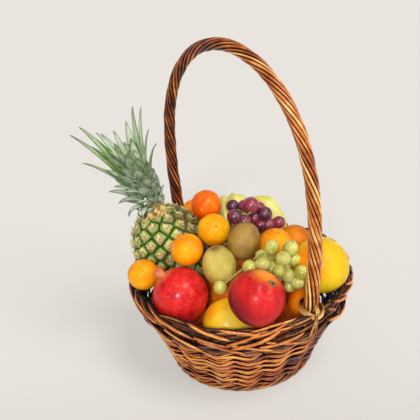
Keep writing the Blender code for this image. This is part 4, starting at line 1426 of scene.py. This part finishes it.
sweep_radius = 15.0
sweep_height = 4.2
sweep_bend = 3.0
floor = begin("floor", bpy.ops.mesh.primitive_cylinder_add, vertices=160, radius=sweep_radius,
              depth=sweep_height)
floor.data.transform(Matrix.Translation((0.0, 0.0, sweep_height / 2)))
pick_faces(floor, lambda face: face.normal.z > 0.5)
bpy.ops.mesh.delete(type="FACE")
bpy.ops.mesh.select_mode(type="EDGE")
bpy.ops.object.mode_set(mode="OBJECT")
for edge in floor.data.edges:
    edge.select = all(floor.data.vertices[k].co.z < 0.001 for k in edge.vertices)
bpy.ops.object.mode_set(mode="EDIT")
bpy.ops.mesh.bevel(offset=sweep_bend, segments=16)
bpy.ops.mesh.select_all(action="SELECT")
bpy.ops.mesh.flip_normals()
bpy.ops.object.mode_set(mode="OBJECT")
bpy.ops.object.shade_smooth_by_angle(angle=math.radians(30))
# Painted light: the sweep's own glow, with no lamp behind it.
made = Finish("sweep", Roughness=0.9, Specular_IOR_Level=0.1, Emission_Strength=0.40)
across = made.node("ShaderNodeSeparateXYZ", {}, {0: made.place((-0.55, -0.72, 0.0))})
away = made.node("ShaderNodeVectorMath", {"operation": "LENGTH"}, {0: made.place()}, "Value")
# Painted shade: the floor is darker and warmer in front of the basket, on the camera's side.
nearer = (across.out("X") + across.out("Y")).between(0.0, 0.5) * (1 - away.between(0.6, 1.6))
glow = made.mix(nearer, (1.0, 0.965, 0.905, 1.0), (0.83, 0.78, 0.70, 1.0))
made.join(glow, made.shader.inputs["Emission Color"])
colour = made.mix(nearer, (0.350, 0.337, 0.315, 1.0), (0.255, 0.238, 0.211, 1.0))
floor.data.materials.append(made.dress(colour))

world = bpy.data.worlds.new("studio")
world.use_nodes = True
world.node_tree.nodes["Background"].inputs["Color"].default_value = (1.0, 0.99, 0.975, 1.0)
world.node_tree.nodes["Background"].inputs["Strength"].default_value = 0.30
bpy.context.scene.world = world


def hang_up(name, data):
    """Puts a lamp or the camera in the scene."""
    holder = bpy.data.objects.new(name, data)
    bpy.context.scene.collection.objects.link(holder)
    return holder


for name, towards, spread, power in (
        ("top", (0.06, -0.42, 0.90), 25.0, 1.55), ("front", (-0.63, -0.58, 0.53), 11.0, 1.9),
        ("side", (0.28, -0.86, 0.42), 16.0, 0.55)):
    lamp = bpy.data.lights.new(name, "SUN")
    lamp.angle = math.radians(spread)
    lamp.energy = power
    hang_up(name, lamp).rotation_euler = turned_to(towards).to_euler()

azimuth = -0.655
elevation = 0.462
roll = -0.049
target = Vector((0.0, 0.0, 0.263))
shift = 0.045
back = polar(azimuth - math.pi / 2, math.cos(elevation), math.sin(elevation))
right = polar(azimuth, 1.0)
above = back.cross(right)
lens = bpy.data.cameras.new("camera")
lens.sensor_width = 36.0
lens.lens = 55.1
camera = hang_up("camera", lens)
spin = Matrix((right, above, back)).transposed() @ Matrix.Rotation(roll, 3, "Z")
camera.matrix_world = Matrix.Translation(target - right * shift + back) @ spin.to_4x4()
bpy.context.scene.camera = camera
bpy.context.scene.view_settings.view_transform = "Standard"
